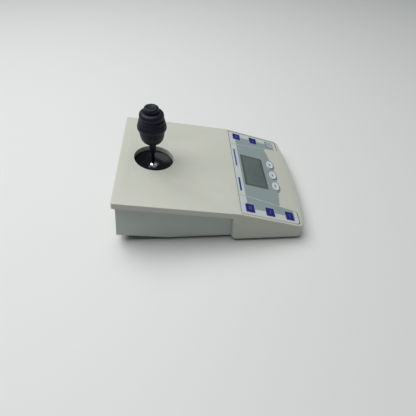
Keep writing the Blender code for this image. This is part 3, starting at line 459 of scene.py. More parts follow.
goldContact = metalFinish("goldContact", (232, 196, 120), (214, 176, 100), (0.18, 0.3))

# painted shade in the keypad's recesses, a dark tone for the shadow in the gaps round the printed sheets: heights
# and extents in the panel's own frame
recessShade = {
    "high": -0.00025,
    "low": -0.0013,
    "rear": -0.0018,
    "margin": 0.0025,
    "length": 0.0925,
    "ribMargin": 0.0055,
    "ribMiddle": -0.0455,
    "ribHalf": 0.0410,
    "soft": 0.0001,
}


# the cover: beige with rubbed side edges, and painted shade in the recess gaps round the printed sheets
def coverFinish():
    finish, tree, shader, vector = newFinish("beigeCover", panelFrame)
    grain = useGroup(tree, mouldedGrain, vector, Grain_Scale=1300.0, Cloud_Scale=16.0).outputs
    base = mixColours(tree, grain["Cloud"], colour(190, 191, 180), colour(195, 195, 184))
    sideways = addMath(tree, "ABSOLUTE", splitNormal(tree)["X"])
    turning = addMath(tree, "MULTIPLY", sideways, addMath(tree, "SUBTRACT", 1.0, sideways))
    patches = useGroup(tree, handledSurface, vector, Scale=70.0, Low=0.0, High=2.4)
    rubbed = addMath(tree, "MULTIPLY", turning, patches.outputs["Value"], clamp=True)
    base = mixColours(tree, rubbed, base, colour(212, 214, 207))
    place = splitVector(tree, vector)
    under = addMath(tree, "LESS_THAN", place["Z"], recessShade["high"])
    shallow = addMath(tree, "GREATER_THAN", place["Z"], recessShade["low"])
    front = addMath(tree, "LESS_THAN", place["Y"], recessShade["rear"])
    inside = useGroup(tree, printedArea, vector, Half_X=halfWidth - recessShade["margin"], Half_Y=recessShade["length"],
                      Soft=recessShade["soft"])
    ribs = useGroup(tree, printedArea, vector, Centre_Y=recessShade["ribMiddle"],
                    Half_X=halfWidth - recessShade["ribMargin"], Half_Y=recessShade["ribHalf"], Soft=recessShade["soft"])
    around = addMath(tree, "SUBTRACT", inside.outputs["Mask"], ribs.outputs["Mask"], clamp=True)
    deep = addMath(tree, "MULTIPLY", under, shallow)
    recessShaded = addMath(tree, "MULTIPLY", deep, addMath(tree, "MULTIPLY", front, around))
    # painted shade: the recess walls and floor round the sheets are coloured dark
    base = mixColours(tree, recessShaded, base, colour(44, 48, 50))
    endFinish(tree, shader, vector, base, (42.0, 0.48, 0.62), (grain["Height"], 0.2, 0.00012), 0.4)
    return finish


# the housing: a slightly cooler beige, with painted shade: dark where its underside faces the table, to darken the
# gap under it
def housingFinish():
    finish, tree, shader, vector = newFinish("beigeHousing")
    grain = useGroup(tree, mouldedGrain, vector, Grain_Scale=1300.0, Cloud_Scale=22.0).outputs
    base = mixColours(tree, grain["Cloud"], colour(181, 188, 182), colour(187, 194, 187))
    downwards = addMath(tree, "LESS_THAN", splitNormal(tree)["Z"], -0.6)
    lowest = addMath(tree, "LESS_THAN", splitVector(tree, vector)["Z"], 0.013)
    # painted shade: the underside near the table is coloured dark so the floor under the housing stays in shade
    base = mixColours(tree, addMath(tree, "MULTIPLY", downwards, lowest), base, colour(38, 40, 41))
    endFinish(tree, shader, vector, base, (42.0, 0.52, 0.64), (grain["Height"], 0.3, 0.00012), 0.4)
    return finish


# the circuit boards: solder mask with tracks and pads seen through it
def boardFinish():
    finish, tree, shader, vector = newFinish("solderMask")
    brick = addNode(tree, "TexBrick", Vector=vector, Scale=140.0, Mortar_Size=0.06,
                    Color1=colour(20, 84, 50), Color2=colour(24, 92, 56),
                    Mortar=colour(44, 122, 74)).outputs
    grain = useGroup(tree, mouldedGrain, vector, Grain_Scale=700.0, Cloud_Scale=60.0).outputs
    base = mixColours(tree, grain["Cloud"], brick["Color"], colour(16, 70, 42))
    endFinish(tree, shader, vector, base, (80.0, 0.28, 0.42), (brick["Fac"], 0.15, 0.00005))
    return finish


# flat cable: grey strands side by side
def ribbonFinish():
    finish, tree, shader, vector = newFinish("greyRibbon")
    wave = addNode(tree, "TexWave", Vector=vector, Scale=250.0)
    wave.bands_direction = "X"
    strands = wave.outputs["Fac"]
    base = mixColours(tree, strands, colour(120, 120, 122), colour(176, 176, 178))
    endFinish(tree, shader, vector, base, (60.0, 0.45, 0.6), (strands, 0.4, 0.0002))
    return finish


beigeCover = coverFinish()
beigeHousing = housingFinish()
solderMask = boardFinish()
greyRibbon = ribbonFinish()
print("plain finishes made")


# the keypad: places on the panel, X across and Y up the slope from the bend
panel = {
    "edge": 0.0035,
    "top": 0.0025,
    "bottom": 0.09151,
    "stripRear": 0.0365,
    "stripFront": 0.0240,
    "rib": 0.0012,
    "sink": 0.00015,
    "sheet": 0.0006,
    "shrink": 0.0006,
    "ribGap": 0.0001,
    "display": (0.071, 0.037),
    "displayDown": 0.0355,
    "ledge": 0.002,
    "key": (0.0150, 0.0126),
    "keyEdge": 0.0164,
    "keyRows": (0.0165, 0.046755, 0.07701),
    "stem": (0.0090, 0.0070),
    "oval": (0.019, 0.012),
    "ovalDown": 0.0673,
    "ovalPitch": 0.0255,
    "keyGap": 0.0005,
    "corner": 0.0055,         # of the side sheets, at the front and outside
    "innerCorner": 0.0028,
    "rearCorner": 0.0010,
    "lobeRise": 0.0023,       # the field widens this far behind the oval keys' middle
    "lobeDrop": 0.0045,
}


# how far from the middle a side sheet begins, at a distance down from the bend
def stripEdge(down, gap=0.0):
    share = (down - panel["top"]) / (panel["bottom"] - panel["top"])
    narrowing = (panel["stripRear"] - panel["stripFront"]) * share
    return halfWidth - panel["edge"] - panel["stripRear"] + narrowing - gap


def stripShape(name, side, grow, inner, low, high):
    outer = halfWidth - panel["edge"] + grow
    block = addBlock(name, (0.02, -panel["bottom"] - grow, low), (outer, -panel["top"] + grow, high))
    first = Vector((stripEdge(panel["top"]), -panel["top"], 0))
    last = Vector((stripEdge(panel["bottom"]), -panel["bottom"], 0))
    inward = Vector((last.y - first.y, first.x - last.x, 0)).normalized()
    slicePiece(block, first + inward * inner, inward)
    atFront = lambda a: a.y < -panel["bottom"] + 0.001
    roundUprights(block, panel["corner"], 6, lambda a: atFront(a) and a.x > 0.085)
    roundUprights(block, panel["innerCorner"], 4, lambda a: atFront(a) and a.x < 0.085)
    roundUprights(block, panel["rearCorner"], 3, lambda a: a.y > -panel["top"] - 0.001)
    if side < 0:
        block.scale.x = -1
        faceOutwards(applyPlace(block))
    return block


def ovalDrum(name, place, halfWide, halfDeep, low, high):
    drum = addDrum(name, halfDeep, low, high, sides=56)
    drum.scale.x = halfWide / halfDeep
    drum.location = (place * panel["ovalPitch"], -panel["ovalDown"], 0)
    return applyPlace(drum)


def ovalCutter(name, place, grow, low, high):
    wide, deep = panel["oval"]
    return ovalDrum(name, place, wide / 2 + grow, deep / 2 + grow, low, high)


def centreShape(name, grow, inner, low, high):
    wide, deep = panel["oval"]
    down = panel["ovalDown"]
    level = down - panel["lobeRise"]
    lobe = level + panel["lobeDrop"]
    half = stripEdge(level, panel["rib"])
    block = addBlock(name, (-0.09, -lobe - grow, low), (0.09, -panel["top"] + grow, high))
    for side in (-1, 1):
        first = Vector((side * stripEdge(panel["top"], panel["rib"]), -panel["top"], 0))
        last = Vector((side * half, -level, 0))
        outward = Vector((first.y - last.y, last.x - first.x, 0)).normalized()
        outward *= 1 if outward.x * side > 0 else -1
        slicePiece(block, first + outward * inner, outward)
        slope = Vector((side, -6, 0)).normalized()
        slicePiece(block, last + slope * grow, slope)
    middle = addBlock("lobeMiddle", (-panel["ovalPitch"], -down - deep * 0.47 - grow, low),
                      (panel["ovalPitch"], -down + 0.004, high))
    combine(block, middle, "UNION")
    for place in (-1, 0, 1):
        lobeDrum = ovalDrum("lobe", place, wide * 0.71 + grow, deep * 0.70 + grow, low, high)
        combine(block, lobeDrum, "UNION")
    mergeDoubles(block)
    return block


def keyPlaces():
    across = halfWidth - panel["keyEdge"]
    return [(f"{hand}_key_{i + 1}", side * across, -down)
            for side, hand in ((-1, "left"), (1, "right")) for i, down in enumerate(panel["keyRows"])]


# the cover: a wedge with a bowed front, hollow below, with a collar round the joystick
cover = {
    "topRound": 0.0010,
    "foldRound": 0.0016,
    "corner": 0.0030,
    "frontCorner": 0.0060,
    "blockCorner": 0.0070,
    "hole": 0.0283,
    "collarDepth": 0.0075,
    "bossRadius": 0.0042,
    "screwHole": 0.0018,
    "bossDepth": 0.0029,      # a boss ends this far above its screw's lowest point
    "holeRound": 0.0005,
    "posts": (0.0310, 0.0350),
}


# the cover's outside, or the space inside it when inset by a wall
def wedgeSolid(name, inset, drop, low):
    radius = (halfWidth ** 2 + console["frontBow"] ** 2) / (2 * console["frontBow"])
    reach = halfWidth - inset
    solid = addBlock(name, (-reach, bend.y - console["panelLength"] - 0.01, low),
                     (reach, bend.y + console["topLength"] + 0.03, coverHigh[2] + 0.02))
    slicePiece(solid, bend - topUp * drop, topUp)
    slicePiece(solid, bend - panelUp * drop, panelUp)
    back = Vector((0, bend.y + console["topLength"], bend.z + console["topLength"] * math.tan(topSlope)))
    slicePiece(solid, back - topAlong * inset, topAlong)
    centre = (0, bend.y - console["panelLength"] + radius)
    bow = addDrum("bow", radius - inset, low - 0.01, 0.2, centre, 240)
    combine(solid, bow, "INTERSECT")
    front = lambda a: a.y < bend.y - 0.05 and abs(a.x) > reach - 0.0002
    roundUprights(solid, max(cover["frontCorner"] - inset, 0.001), 8, front)
    leaning = lambda a, b: (a.y > bend.y + 0.15 and b.y > bend.y + 0.15 and abs(a.x - b.x) < 1e-5
                            and abs(a.x) > reach - 0.0002 and abs(a.z - b.z) > 0.004)
    bevelWhere(solid, leaning, max(cover["corner"] - inset, 0.001), 5)
    return solid


def makeCoverBody():
    body = wedgeSolid("topCover", 0.0, 0.0, console["underside"])
    blockEnd = bend.y + console["blockBack"]
    under = addBlock("underRim", (-0.2, blockEnd, -0.1), (0.2, blockEnd + 0.3, 0.2))
    slicePiece(under, bend - topUp * console["rimDepth"], topUp)
    combine(body, under, "DIFFERENCE")
    upright = lambda a: abs(a.y - blockEnd) < 0.0002 and abs(a.x) > halfWidth - 0.0002
    roundUprights(body, cover["blockCorner"], 8, upright)
    onTop = lambda a: abs((a - bend).dot(topUp)) < 0.00002 or abs((a - bend).dot(panelUp)) < 0.00002
    fold = lambda a, b: abs(a.y - bend.y) < 1e-5 and abs(b.y - bend.y) < 1e-5 and onTop(a) and onTop(b)
    bevelWhere(body, fold, cover["foldRound"], 3)
    highest = lambda a: max((a - bend).dot(topUp), (a - bend).dot(panelUp)) > -0.0004
    acrossFold = lambda a, b: abs(a.y - b.y) < 1e-6 and abs(a.x - b.x) > 0.1 and abs(a.y - bend.y) < 0.004
    rim = lambda a, b: highest(a) and highest(b) and not acrossFold(a, b)
    bevelWhere(body, rim, cover["topRound"], 4)
    return body


def hollowCover(body):
    wall = console["wall"]
    blockEnd = bend.y + console["blockBack"]
    topVoid = wedgeSolid("topVoid", wall, wall, -0.01)
    slicePiece(topVoid, Vector((0, blockEnd - 0.02, 0)), Vector((0, -1, 0)))
    slicePiece(topVoid, bend - topUp * (console["rimDepth"] + 0.0008), -topUp)
    combine(body, topVoid, "DIFFERENCE")
    frontVoid = wedgeSolid("frontVoid", wall, wall, -0.01)
    slicePiece(frontVoid, Vector((0, blockEnd - wall, 0)), Vector((0, 1, 0)))
    rear = lambda a: abs(a.y - blockEnd + wall) < 0.0002
    roundUprights(frontVoid, cover["blockCorner"] - wall, 6, rear)
    combine(body, frontVoid, "DIFFERENCE")
    passage = halfWidth - console["sideRecess"] + console["fit"]
    doorway = addBlock("doorway", (-passage, blockEnd - 0.02, -0.01), (passage, blockEnd + 0.02, 0.2))
    slicePiece(doorway, bend - topUp * (wall + 0.001), topUp)
    slicePiece(doorway, bend - panelUp * (wall + 0.001), panelUp)
    combine(body, doorway, "DIFFERENCE")


def addCoverFixings(body):
    wall = console["wall"]
    collar = addDrum("collar", cover["hole"] + wall, -cover["collarDepth"], -0.001, sides=96)
    combine(body, applyPlace(collar, wellFrame), "UNION")
    across, along = cover["posts"]
    places = [(x, y) for x in (-across, across) for y in (-along, along)]
    for place in places:
        post = addDrum("post", cover["bossRadius"], -cover["collarDepth"], -0.001, place, 24)
        combine(body, applyPlace(post, wellFrame), "UNION")
    cutters = [addDrum("joystickHole", cover["hole"], -0.02, 0.02, sides=96)]
    cutters += [addDrum("drill", cover["screwHole"], -0.02, -wall + 0.0005, place, 20)
                for place in places]
    for cutter in cutters:
        applyPlace(cutter, wellFrame)
    cutAll(body, cutters)
    for node in ("front_left", "front_right", "rear_left", "rear_right"):
        low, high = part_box(node + "_cover_screw")
        x, y = (low[0] + high[0]) / 2, (low[1] + high[1]) / 2
        foot = low[2] + cover["bossDepth"]
        slope, point = (topUp, bend) if y > bend.y else (panelUp, bend)
        boss = addDrum("boss", cover["bossRadius"], foot, 0.12, (x, y), 24)
        slicePiece(boss, point - slope * 0.001, slope)
        combine(body, boss, "UNION")
        drill = addDrum("drill", cover["screwHole"], foot - 0.01, foot + 0.009, (x, y), 20)
        combine(body, drill, "DIFFERENCE")
    lip = lambda a: abs((wellFrame.inverted() @ a).xy.length - cover["hole"]) < 0.00002
    level = lambda a: abs((wellFrame.inverted() @ a).z) < 0.00002
    bevelWhere(body, lambda a, b: lip(a) and lip(b) and level(a) and level(b), cover["holeRound"], 3)


def cutPanel(body):
    depth = panel["sink"] + panel["sheet"] + console["fit"]
    fit = console["fit"]
    inner = panel["ribGap"]
    for shape in (stripShape("leftRecess", -1, fit, inner, -depth, 0.01),
                  stripShape("rightRecess", 1, fit, inner, -depth, 0.01),
                  centreShape("centreRecess", fit, inner, -depth, 0.01)):
        combine(body, applyPlace(shape, panelFrame), "DIFFERENCE")
    wide, deep = panel["display"]
    ledge = panel["ledge"]
    window = (wide - 2 * ledge, deep - 2 * ledge)
    cutters = [addSlab("displayHole", window, 0, -panel["displayDown"], -0.01, 0.01)]
    stem = [size + 2 * panel["keyGap"] for size in panel["stem"]]
    cutters += [addSlab("stemHole", stem, x, y, -0.01, 0.01) for name, x, y in keyPlaces()]
    cutters += [ovalCutter("ovalHole", place, panel["keyGap"], -0.01, 0.01) for place in (-1, 0, 1)]
    for cutter in cutters:
        applyPlace(cutter, panelFrame)
    cutAll(body, cutters)


def makeCover():
    body = makeCoverBody()
    hollowCover(body)
    addCoverFixings(body)
    cutPanel(body)
    finishPiece(body, beigeCover, "top_cover", angle=28)
    print("cover made,", len(body.data.polygons), "faces")


makeCover()


# print on the panel: the grey field, the bars in place of names, and a pale square round each key
printed = {
    "fieldTop": 0.0130,
    "fieldEnd": 0.0060,
    "fieldHalf": 0.0845,
    "barDown": 0.0078,
    "barHalf": 0.0016,
    "bars": ((-0.0370, 0.0146, colour(44, 48, 136)), (0.0255, 0.0214, colour(84, 92, 158))),
    "squareHalf": (0.0086, 0.0074),
    "keyFrame": 0.0007,
    "keyBar": (0.0036, 0.0006),
}


# mixes a tone into a colour over a printed box
def printBox(tree, vector, base, tone, weight=1.0, **box):
    mask = useGroup(tree, printedArea, vector, **box).outputs["Mask"]
    return mixColours(tree, addMath(tree, "MULTIPLY", mask, weight), base, tone)


# the printed sheets: a pale border, a grey field, and plain blue bars
def sheetFinish():
    finish, tree, shader, vector = newFinish("printedSheet", panelFrame)
    pale = colour(191, 199, 196)
    grain = useGroup(tree, mouldedGrain, vector, Grain_Scale=2400.0, Cloud_Scale=26.0).outputs
    grey = mixColours(tree, grain["Cloud"], colour(134, 146, 148), colour(146, 159, 159))
    start, end = printed["fieldTop"], panel["bottom"] - printed["fieldEnd"]
    base = printBox(tree, vector, pale, grey, Centre_Y=-(end + start) / 2, Half_X=printed["fieldHalf"],
                    Half_Y=(end - start) / 2, Soft=0.0006)
    for centre, half, blue in printed["bars"]:
        base = printBox(tree, vector, base, blue, Centre_X=centre, Centre_Y=-printed["barDown"],
                        Half_X=half, Half_Y=printed["barHalf"], Soft=0.0003)
    halfWide, halfDeep = printed["squareHalf"]
    for name, x, y in keyPlaces():
        base = printBox(tree, vector, base, pale, 0.75, Centre_X=x, Centre_Y=y, Half_X=halfWide,
                        Half_Y=halfDeep, Soft=0.0004)
    endFinish(tree, shader, vector, base, (50.0, 0.34, 0.46), (grain["Height"], 0.12, 0.00006), 0.45)
    return finish


# a key face: a field, a printed frame round it and faint bars for a symbol
def keyFinish(name, x, y, face, frameTone, symbol, bars=(0.0,)):
    finish, tree, shader, vector = newFinish(name, panelFrame @ Matrix.Translation((x, y, 0)))
    wide, deep = panel["key"]
    grain = useGroup(tree, mouldedGrain, vector, Grain_Scale=2400.0, Cloud_Scale=120.0).outputs
    base = printBox(tree, vector, frameTone, face, Half_X=wide / 2 - printed["keyFrame"],
                    Half_Y=deep / 2 - printed["keyFrame"], Soft=0.00015)
    halfWide, halfDeep = printed["keyBar"]
    for offset in bars:
        base = printBox(tree, vector, base, symbol, 0.7, Centre_Y=offset, Half_X=halfWide,
                        Half_Y=halfDeep, Soft=0.0002)
    base = mixColours(tree, addMath(tree, "MULTIPLY", grain["Cloud"], 0.25), base, (0, 0, 0, 1))
    endFinish(tree, shader, vector, base, (160.0, 0.3, 0.44), (grain["Height"], 0.12, 0.00006))
    return finish


def makeSheets():
    low, high = -panel["sink"] - panel["sheet"], -panel["sink"]
    finish = sheetFinish()
    fit = console["fit"]
    keyHole = [size + 2 * fit for size in panel["key"]]
    shrink = -panel["shrink"]
    sheets = {"left": stripShape("leftOverlay", -1, shrink, 0.0, low, high),
              "right": stripShape("rightOverlay", 1, shrink, 0.0, low, high),
              "centre": centreShape("centreOverlay", shrink, 0.0, low, high)}
    for hand, sheet in sheets.items():
        cutters = [addSlab("keyHole", keyHole, x, y, -0.005, 0.005, 0.0008)
                   for name, x, y in keyPlaces() if name.startswith(hand)]
        if hand == "centre":
            display = [size + 2 * fit for size in panel["display"]]
            cutters = [addSlab("displayHole", display, 0, -panel["displayDown"], -0.005, 0.005, 0.0012)]
            cutters += [ovalCutter("ovalHole", place, panel["keyGap"], -0.005, 0.005)
                        for place in (-1, 0, 1)]
        cutAll(sheet, cutters)
        mergeDoubles(sheet)
        roundEdges(sheet, 0.00012, 1, 40)
        finishPiece(sheet, finish, hand + "_overlay", place=panelFrame, angle=30)


# each key: a cap with a shallow dished face over a stem
keyCap = {
    "low": -0.00045,
    "high": 0.00035,
    "corner": 0.0006,
    "rim": 0.00026,
    "slope": 0.00022,
    "dish": -0.00012,
    "stemLow": -0.0041,
    "stemHigh": -0.0003,
    "edge": 0.00012,
}


def makeKeys():
    for name, x, y in keyPlaces():
        cap = addSlab(name.replace("_", "") + "Cap", panel["key"], 0, 0, keyCap["low"], keyCap["high"],
                      keyCap["corner"])
        with editing(cap, "DESELECT"):
            bpy.ops.mesh.select_mode(type="FACE")
        for face in cap.data.polygons:
            face.select = face.normal.z > 0.9
        bpy.ops.object.mode_set(mode="EDIT")
        bpy.ops.mesh.inset(thickness=keyCap["rim"], depth=0.0)
        bpy.ops.mesh.inset(thickness=keyCap["slope"], depth=keyCap["dish"])
        bpy.ops.object.mode_set(mode="OBJECT")
        stem = addSlab("stem", panel["stem"], 0, 0, keyCap["stemLow"], keyCap["stemHigh"])
        combine(cap, stem, "UNION")
        roundEdges(cap, keyCap["edge"], 2, 50)
        if name == "right_key_3":
            finish = keyFinish("whiteKey", x, y, colour(184, 190, 196), colour(104, 112, 120),
                               colour(70, 78, 92), (0.0028, 0.0, -0.0028))
        else:
            finish = keyFinish("blueKey" + name[0].upper() + name[-1], x, y, colour(24, 26, 116),
                               colour(46, 50, 142), colour(104, 116, 190),
                               (0.0013, -0.0013) if name[-1] == "1" else (0.0,))
        finishPiece(cap, finish, name, name, panelFrame @ Matrix.Translation((x, y, 0)))


# the oval keys: a white rim round a shallow dish, darker at the outer edge as painted shade, with a small dark
# mark in the middle
def ovalFinish(place):
    x = place * panel["ovalPitch"]
    centre = panelFrame @ Matrix.Translation((x, -panel["ovalDown"], 0))
    finish, tree, shader, vector = newFinish("ovalKey" + str(place + 2), centre)
    where = splitVector(tree, vector)
    shares = [addMath(tree, "DIVIDE", where[axis], size / 2) for axis, size in zip("XY", panel["oval"])]
    squares = [addMath(tree, "MULTIPLY", share, share) for share in shares]
    ring = addNode(tree, "ValToRGB", addMath(tree, "SQRT", addMath(tree, "ADD", *squares)))
    stops = ring.color_ramp.elements
    stops[0].position, stops[0].color = 0.34, colour(182, 190, 195)
    stops[1].position, stops[1].color = 0.46, colour(204, 210, 213)
    # the stop at 0.94 darkens the key's outer edge and sides: painted shade
    for position, tone in ((0.82, colour(210, 215, 218)), (0.94, colour(170, 179, 184))):
        stop = stops.new(position)
        stop.color = tone
    grain = useGroup(tree, mouldedGrain, vector, Grain_Scale=2000.0, Cloud_Scale=90.0).outputs
    base = printBox(tree, vector, ring.outputs["Color"], colour(104, 112, 126), Half_X=0.0026,
                    Half_Y=0.0009, Soft=0.0003)
    base = mixColours(tree, addMath(tree, "MULTIPLY", grain["Cloud"], 0.12), base, colour(120, 126, 134))
    endFinish(tree, shader, vector, base, (120.0, 0.34, 0.46), (grain["Height"], 0.1, 0.00006))
    return finish


def makeOvals():
    wide, deep = (size / 2 for size in panel["oval"])
    skirt, top, flange = 0.0012, 0.0012, 0.0008
    under = -console["wall"] - console["fit"]
    rings = [(0.0060, 0.0020, -0.0043), (wide - 0.0022, deep - 0.0022, under - flange),
             (wide + skirt, deep + skirt, under - flange), (wide + skirt, deep + skirt, under),
             (wide, deep, under),
             (wide, deep, top - 0.0008), (wide - 0.0003, deep - 0.0003, top - 0.0003),
             (wide - 0.0009, deep - 0.0009, top), (wide - 0.0020, deep - 0.0020, top - 0.00005),
             (wide - 0.0032, deep - 0.0032, top - 0.0004), (wide - 0.0050, deep - 0.0044, top - 0.0006)]
    for place in (-1, 0, 1):
        node = f"oval_key_{place + 2}"
        key = risePiece("ovalKey" + str(place + 2), rings, 64)
        middle = Matrix.Translation((place * panel["ovalPitch"], -panel["ovalDown"], 0))
        finishPiece(key, ovalFinish(place), node, node, panelFrame @ middle, 38)


# the display: a clear pane over a grey-green liquid crystal, with a soft darker border that is partly printed mask
# and partly painted shade from the bezel
def paneFinish():
    middle = Matrix.Translation((0, -panel["displayDown"], 0))
    finish, tree, shader, vector = newFinish("displayPane", panelFrame @ middle)
    wide, deep = panel["display"]
    grain = useGroup(tree, mouldedGrain, vector, Grain_Scale=900.0, Cloud_Scale=30.0).outputs
    grey = mixColours(tree, grain["Cloud"], colour(88, 98, 95), colour(98, 108, 105))
    # the soft darker border: printed mask, and painted shade where the bezel shades the display's edges
    base = printBox(tree, vector, colour(80, 88, 88), grey, Half_X=wide / 2 - 0.0030,
                    Half_Y=deep / 2 - 0.0028, Soft=0.0010)
    endFinish(tree, shader, vector, base, (55.0, 0.12, 0.26))
    shader.inputs["Coat Weight"].default_value = 0.5
    shader.inputs["Coat Roughness"].default_value = 0.06
    return finish


def crystalFinish():
    finish, tree, shader, vector = newFinish("liquidCrystal", panelFrame)
    cells = addNode(tree, "TexBrick", Vector=vector, Scale=260.0, Mortar_Size=0.02,
                    Color1=colour(96, 108, 98), Color2=colour(100, 112, 102), Mortar=colour(84, 94, 86))
    cells.offset = 0.0
    endFinish(tree, shader, vector, cells.outputs["Color"], (55.0, 0.3, 0.4))
    return finish


def makeDisplay():
    low, high = -panel["sink"] - panel["sheet"], -panel["sink"]
    pane = addSlab("displayPane", panel["display"], 0, -panel["displayDown"], low, high, 0.0011)
    roundEdges(pane, 0.0001, 2, 50)
    finishPiece(pane, displayPane, "display_window", place=panelFrame)


displayPane = paneFinish()
liquidCrystal = crystalFinish()
makeSheets()
makeKeys()
makeOvals()
makeDisplay()
print("keypad made")


# the joystick, in heights above the ball's centre
stick = {
    "ball": 0.00765,
    "rod": 0.0025,
    "rodLow": -0.02415,
    "rodReach": 0.034,        # how far the rod goes into the knob
    "sleeve": 0.00475,
    "sleeveLow": 0.0265,
    "sleeveReach": 0.006,
    "start": 0.041,           # where the knob begins
    "hub": 0.0080,
    "well": 0.0100,
    "seatWidth": 0.00435,
    "dishFlange": 0.0057,
    "springFoot": 0.0423,
    "springLength": 0.0064,
}


def arc(radius, low, high, steps):
    heights = [low + (high - low) * i / steps for i in range(steps + 1)]
    return [(math.sqrt(radius ** 2 - h * h), h) for h in heights]


def makeDish():
    fit = console["fit"]
    rimTop = console["pivotDepth"] - cover["collarDepth"] - fit
    hole = cover["hole"]
    outer = hole + stick["dishFlange"]
    seat = stick["ball"] + fit
    edge = stick["ball"] + stick["seatWidth"]
    upper = [(seat + 0.0010, 0.0027), (seat + 0.0018, 0.0026), (seat + 0.0100, 0.0044),
             (hole - 0.0030, rimTop - 0.0014), (hole - 0.0016, rimTop - 0.0009),
             (hole - 0.0009, rimTop - 0.0002), (hole - 0.0004, rimTop), (outer, rimTop)]
    lower = [(outer, rimTop - 0.002), (hole, rimTop - 0.002), (hole - 0.003, rimTop - 0.0028),
             (edge, 0.0005)]
    dish = spinPiece("joystickDish", arc(seat, 0.0, 0.0022, 4) + upper + lower, 96)
    finishPiece(dish, glossBlack, "joystick_dish", place=dishFrame, angle=24)
    cup = arc(seat, -0.0052, -fit, 6)
    foot = [(edge, -0.0003), (edge, -0.0045), (edge - 0.0015, -0.0052)]
    socket = spinPiece("ballSocket", cup + foot, 64)
    finishPiece(socket, whiteNylon, "ball_socket", place=dishFrame)


def makeStick():
    start, radius, outside = stick["start"], stick["rod"], stick["sleeve"]
    bore = radius + console["fit"]
    reach = math.sqrt(stick["ball"] ** 2 - bore ** 2)
    ball = spinPiece("pivotBall", arc(stick["ball"], -reach, reach, 30), 64)
    low, high = stick["rodLow"], start + stick["rodReach"]
    rod = spinPiece("joystickRod", [(0, low), (0.0018, low), (radius, low + 0.0008),
                                    (radius, high - 0.0004), (0.0021, high), (0, high)], 40)
    low, high = stick["sleeveLow"], start + stick["sleeveReach"]
    sleeve = spinPiece("stemSleeve", [(bore, low), (outside - 0.0010, low),
                                      (outside - 0.0003, low + 0.0002), (outside, low + 0.0009),
                                      (outside, high), (bore, high)], 48)
    for piece, finish, node in ((ball, chrome, "pivot_ball"), (rod, blackRod, "joystick_rod"),
                                (sleeve, satinGrip, "stem_sleeve")):
        finishPiece(piece, finish, node, "stick", stickFrame)


# the knob's outlines, in heights above its start
def makeGrip():
    hub, well, fit = stick["hub"], stick["well"], console["fit"]
    bore = stick["rod"] + fit
    neck = stick["sleeve"] + fit
    outlines = {
        "grip_base": [
            (neck, 0), (0.0070, 0.0005), (0.0091, 0.0024), (0.0113, 0.0040), (0.0134, 0.0060),
            (0.0149, 0.0084), (0.0159, 0.0112), (0.0164, 0.0140), (0.0168, 0.0170), (0.0170, 0.0178),
            (0.0166, 0.0182), (0.0166, 0.0188), (0.0171, 0.0192), (0.0175, 0.0208), (0.0173, 0.0216),
            (0.0168, 0.0218), (hub, 0.0218), (hub, 0.0396), (bore, 0.0396), (bore, 0.0066), (neck, 0.0066)],
        "grip_dial": [
            (hub + fit, 0.0222), (0.0176, 0.0222), (0.0182, 0.0226), (0.0192, 0.0244), (0.0197, 0.0258),
            (0.0198, 0.0268), (0.0198, 0.0284), (0.0196, 0.0294), (0.0190, 0.0302), (0.0186, 0.0330),
            (0.0181, 0.0340), (0.0177, 0.0342), (0.0177, 0.0348), (0.0180, 0.0352), (0.0175, 0.0374),
            (0.0170, 0.0388), (0.0163, 0.0392), (hub + fit, 0.0392)],
        "grip_head": [
            (0, 0.0400), (0.0157, 0.0400), (0.0163, 0.0405), (0.0165, 0.0418), (0.0165, 0.0440),
            (0.0164, 0.0452), (0.0161, 0.0463), (0.0156, 0.0473), (0.0149, 0.0482), (0.0140, 0.0488),
            (0.0130, 0.0492), (0.0108, 0.0494), (well + 0.0002, 0.0493), (well, 0.0490), (well, 0.0468),
            (0.0056, 0.0468), (0.0056, 0.0420), (0, 0.0420)],
        "top_button": [
            (0, 0.0435), (0.0020, 0.0435), (0.0020, 0.0490), (0.0092, 0.0490), (0.0096, 0.0494),
            (0.0097, 0.0544), (0.0095, 0.0552), (0.0090, 0.0558), (0.0083, 0.05605), (0.0074, 0.0561),
            (0.0062, 0.0561), (0.0057, 0.0559), (0.0053, 0.0556), (0.0047, 0.0554), (0.0034, 0.0556),
            (0.0026, 0.0556), (0.0020, 0.0552), (0.0012, 0.0550), (0, 0.0550)]}
    bodies = {"grip_dial": "dial", "top_button": "button"}
    for node, outline in outlines.items():
        outline = [(radius, height + stick["start"]) for radius, height in outline]
        piece = spinPiece(pieceName(node), outline, 64 if node == "top_button" else 72)
        finishPiece(piece, satinGrip, node, bodies.get(node, "stick"), stickFrame, 40)


# the spring under the button keeps its CAD shape, on a mesh of its own
def makeSpring():
    spring = copyNode("button_spring", "buttonSpring")
    finishPiece(spring, zincSteel, "button_spring", "stick", angle=60)
    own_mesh(spring)


makeDish()
makeStick()
makeGrip()
makeSpring()
print("joystick made")


# housing, feet and what sits in the back wall
def makeHousing():
    housing = copyNode("base_housing", "baseHousing")
    roundEdges(housing, 0.0005, 2, 50)
    finishPiece(housing, beigeHousing, "base_housing", angle=30)


# feet, cover screws and the switch keep their CAD shapes, with softened edges
def softenCopies(nodes, finish, width):
    for node in nodes:
        piece = copyNode(node, pieceName(node))
        roundEdges(piece, width, 2, 35)
        finishPiece(piece, finish, node, angle=40)


# what sits in the back wall: places along it, and a socket's sizes from its plate inwards
back = {
    "ports": (("motor_socket", -0.0552, 0.039, 13), ("serial_socket", -0.0034, 0.031, 9)),
    "portHeight": 0.0125,
    "flange": (0.004, 0.003),
    "plate": (0.0003, 0.0014),
    "shell": (0.0006, 0.0042),
    "shellTrim": (0.012, 0.0035),
    "shellWall": 0.0008,
    "mouth": (0.0020, 0.0060),
    "pin": (0.00045, 0.0012, 0.0036),
    "pinRow": 0.0014,
    "post": (0.0022, 0.0008, 0.0030),
    "postHole": (0.0011, 0.0020, 0.0050),
    "postInset": 0.0012,
    "depth": -0.0105,
    "inlet": 0.0369,
    "inletRadius": 0.0080,
}


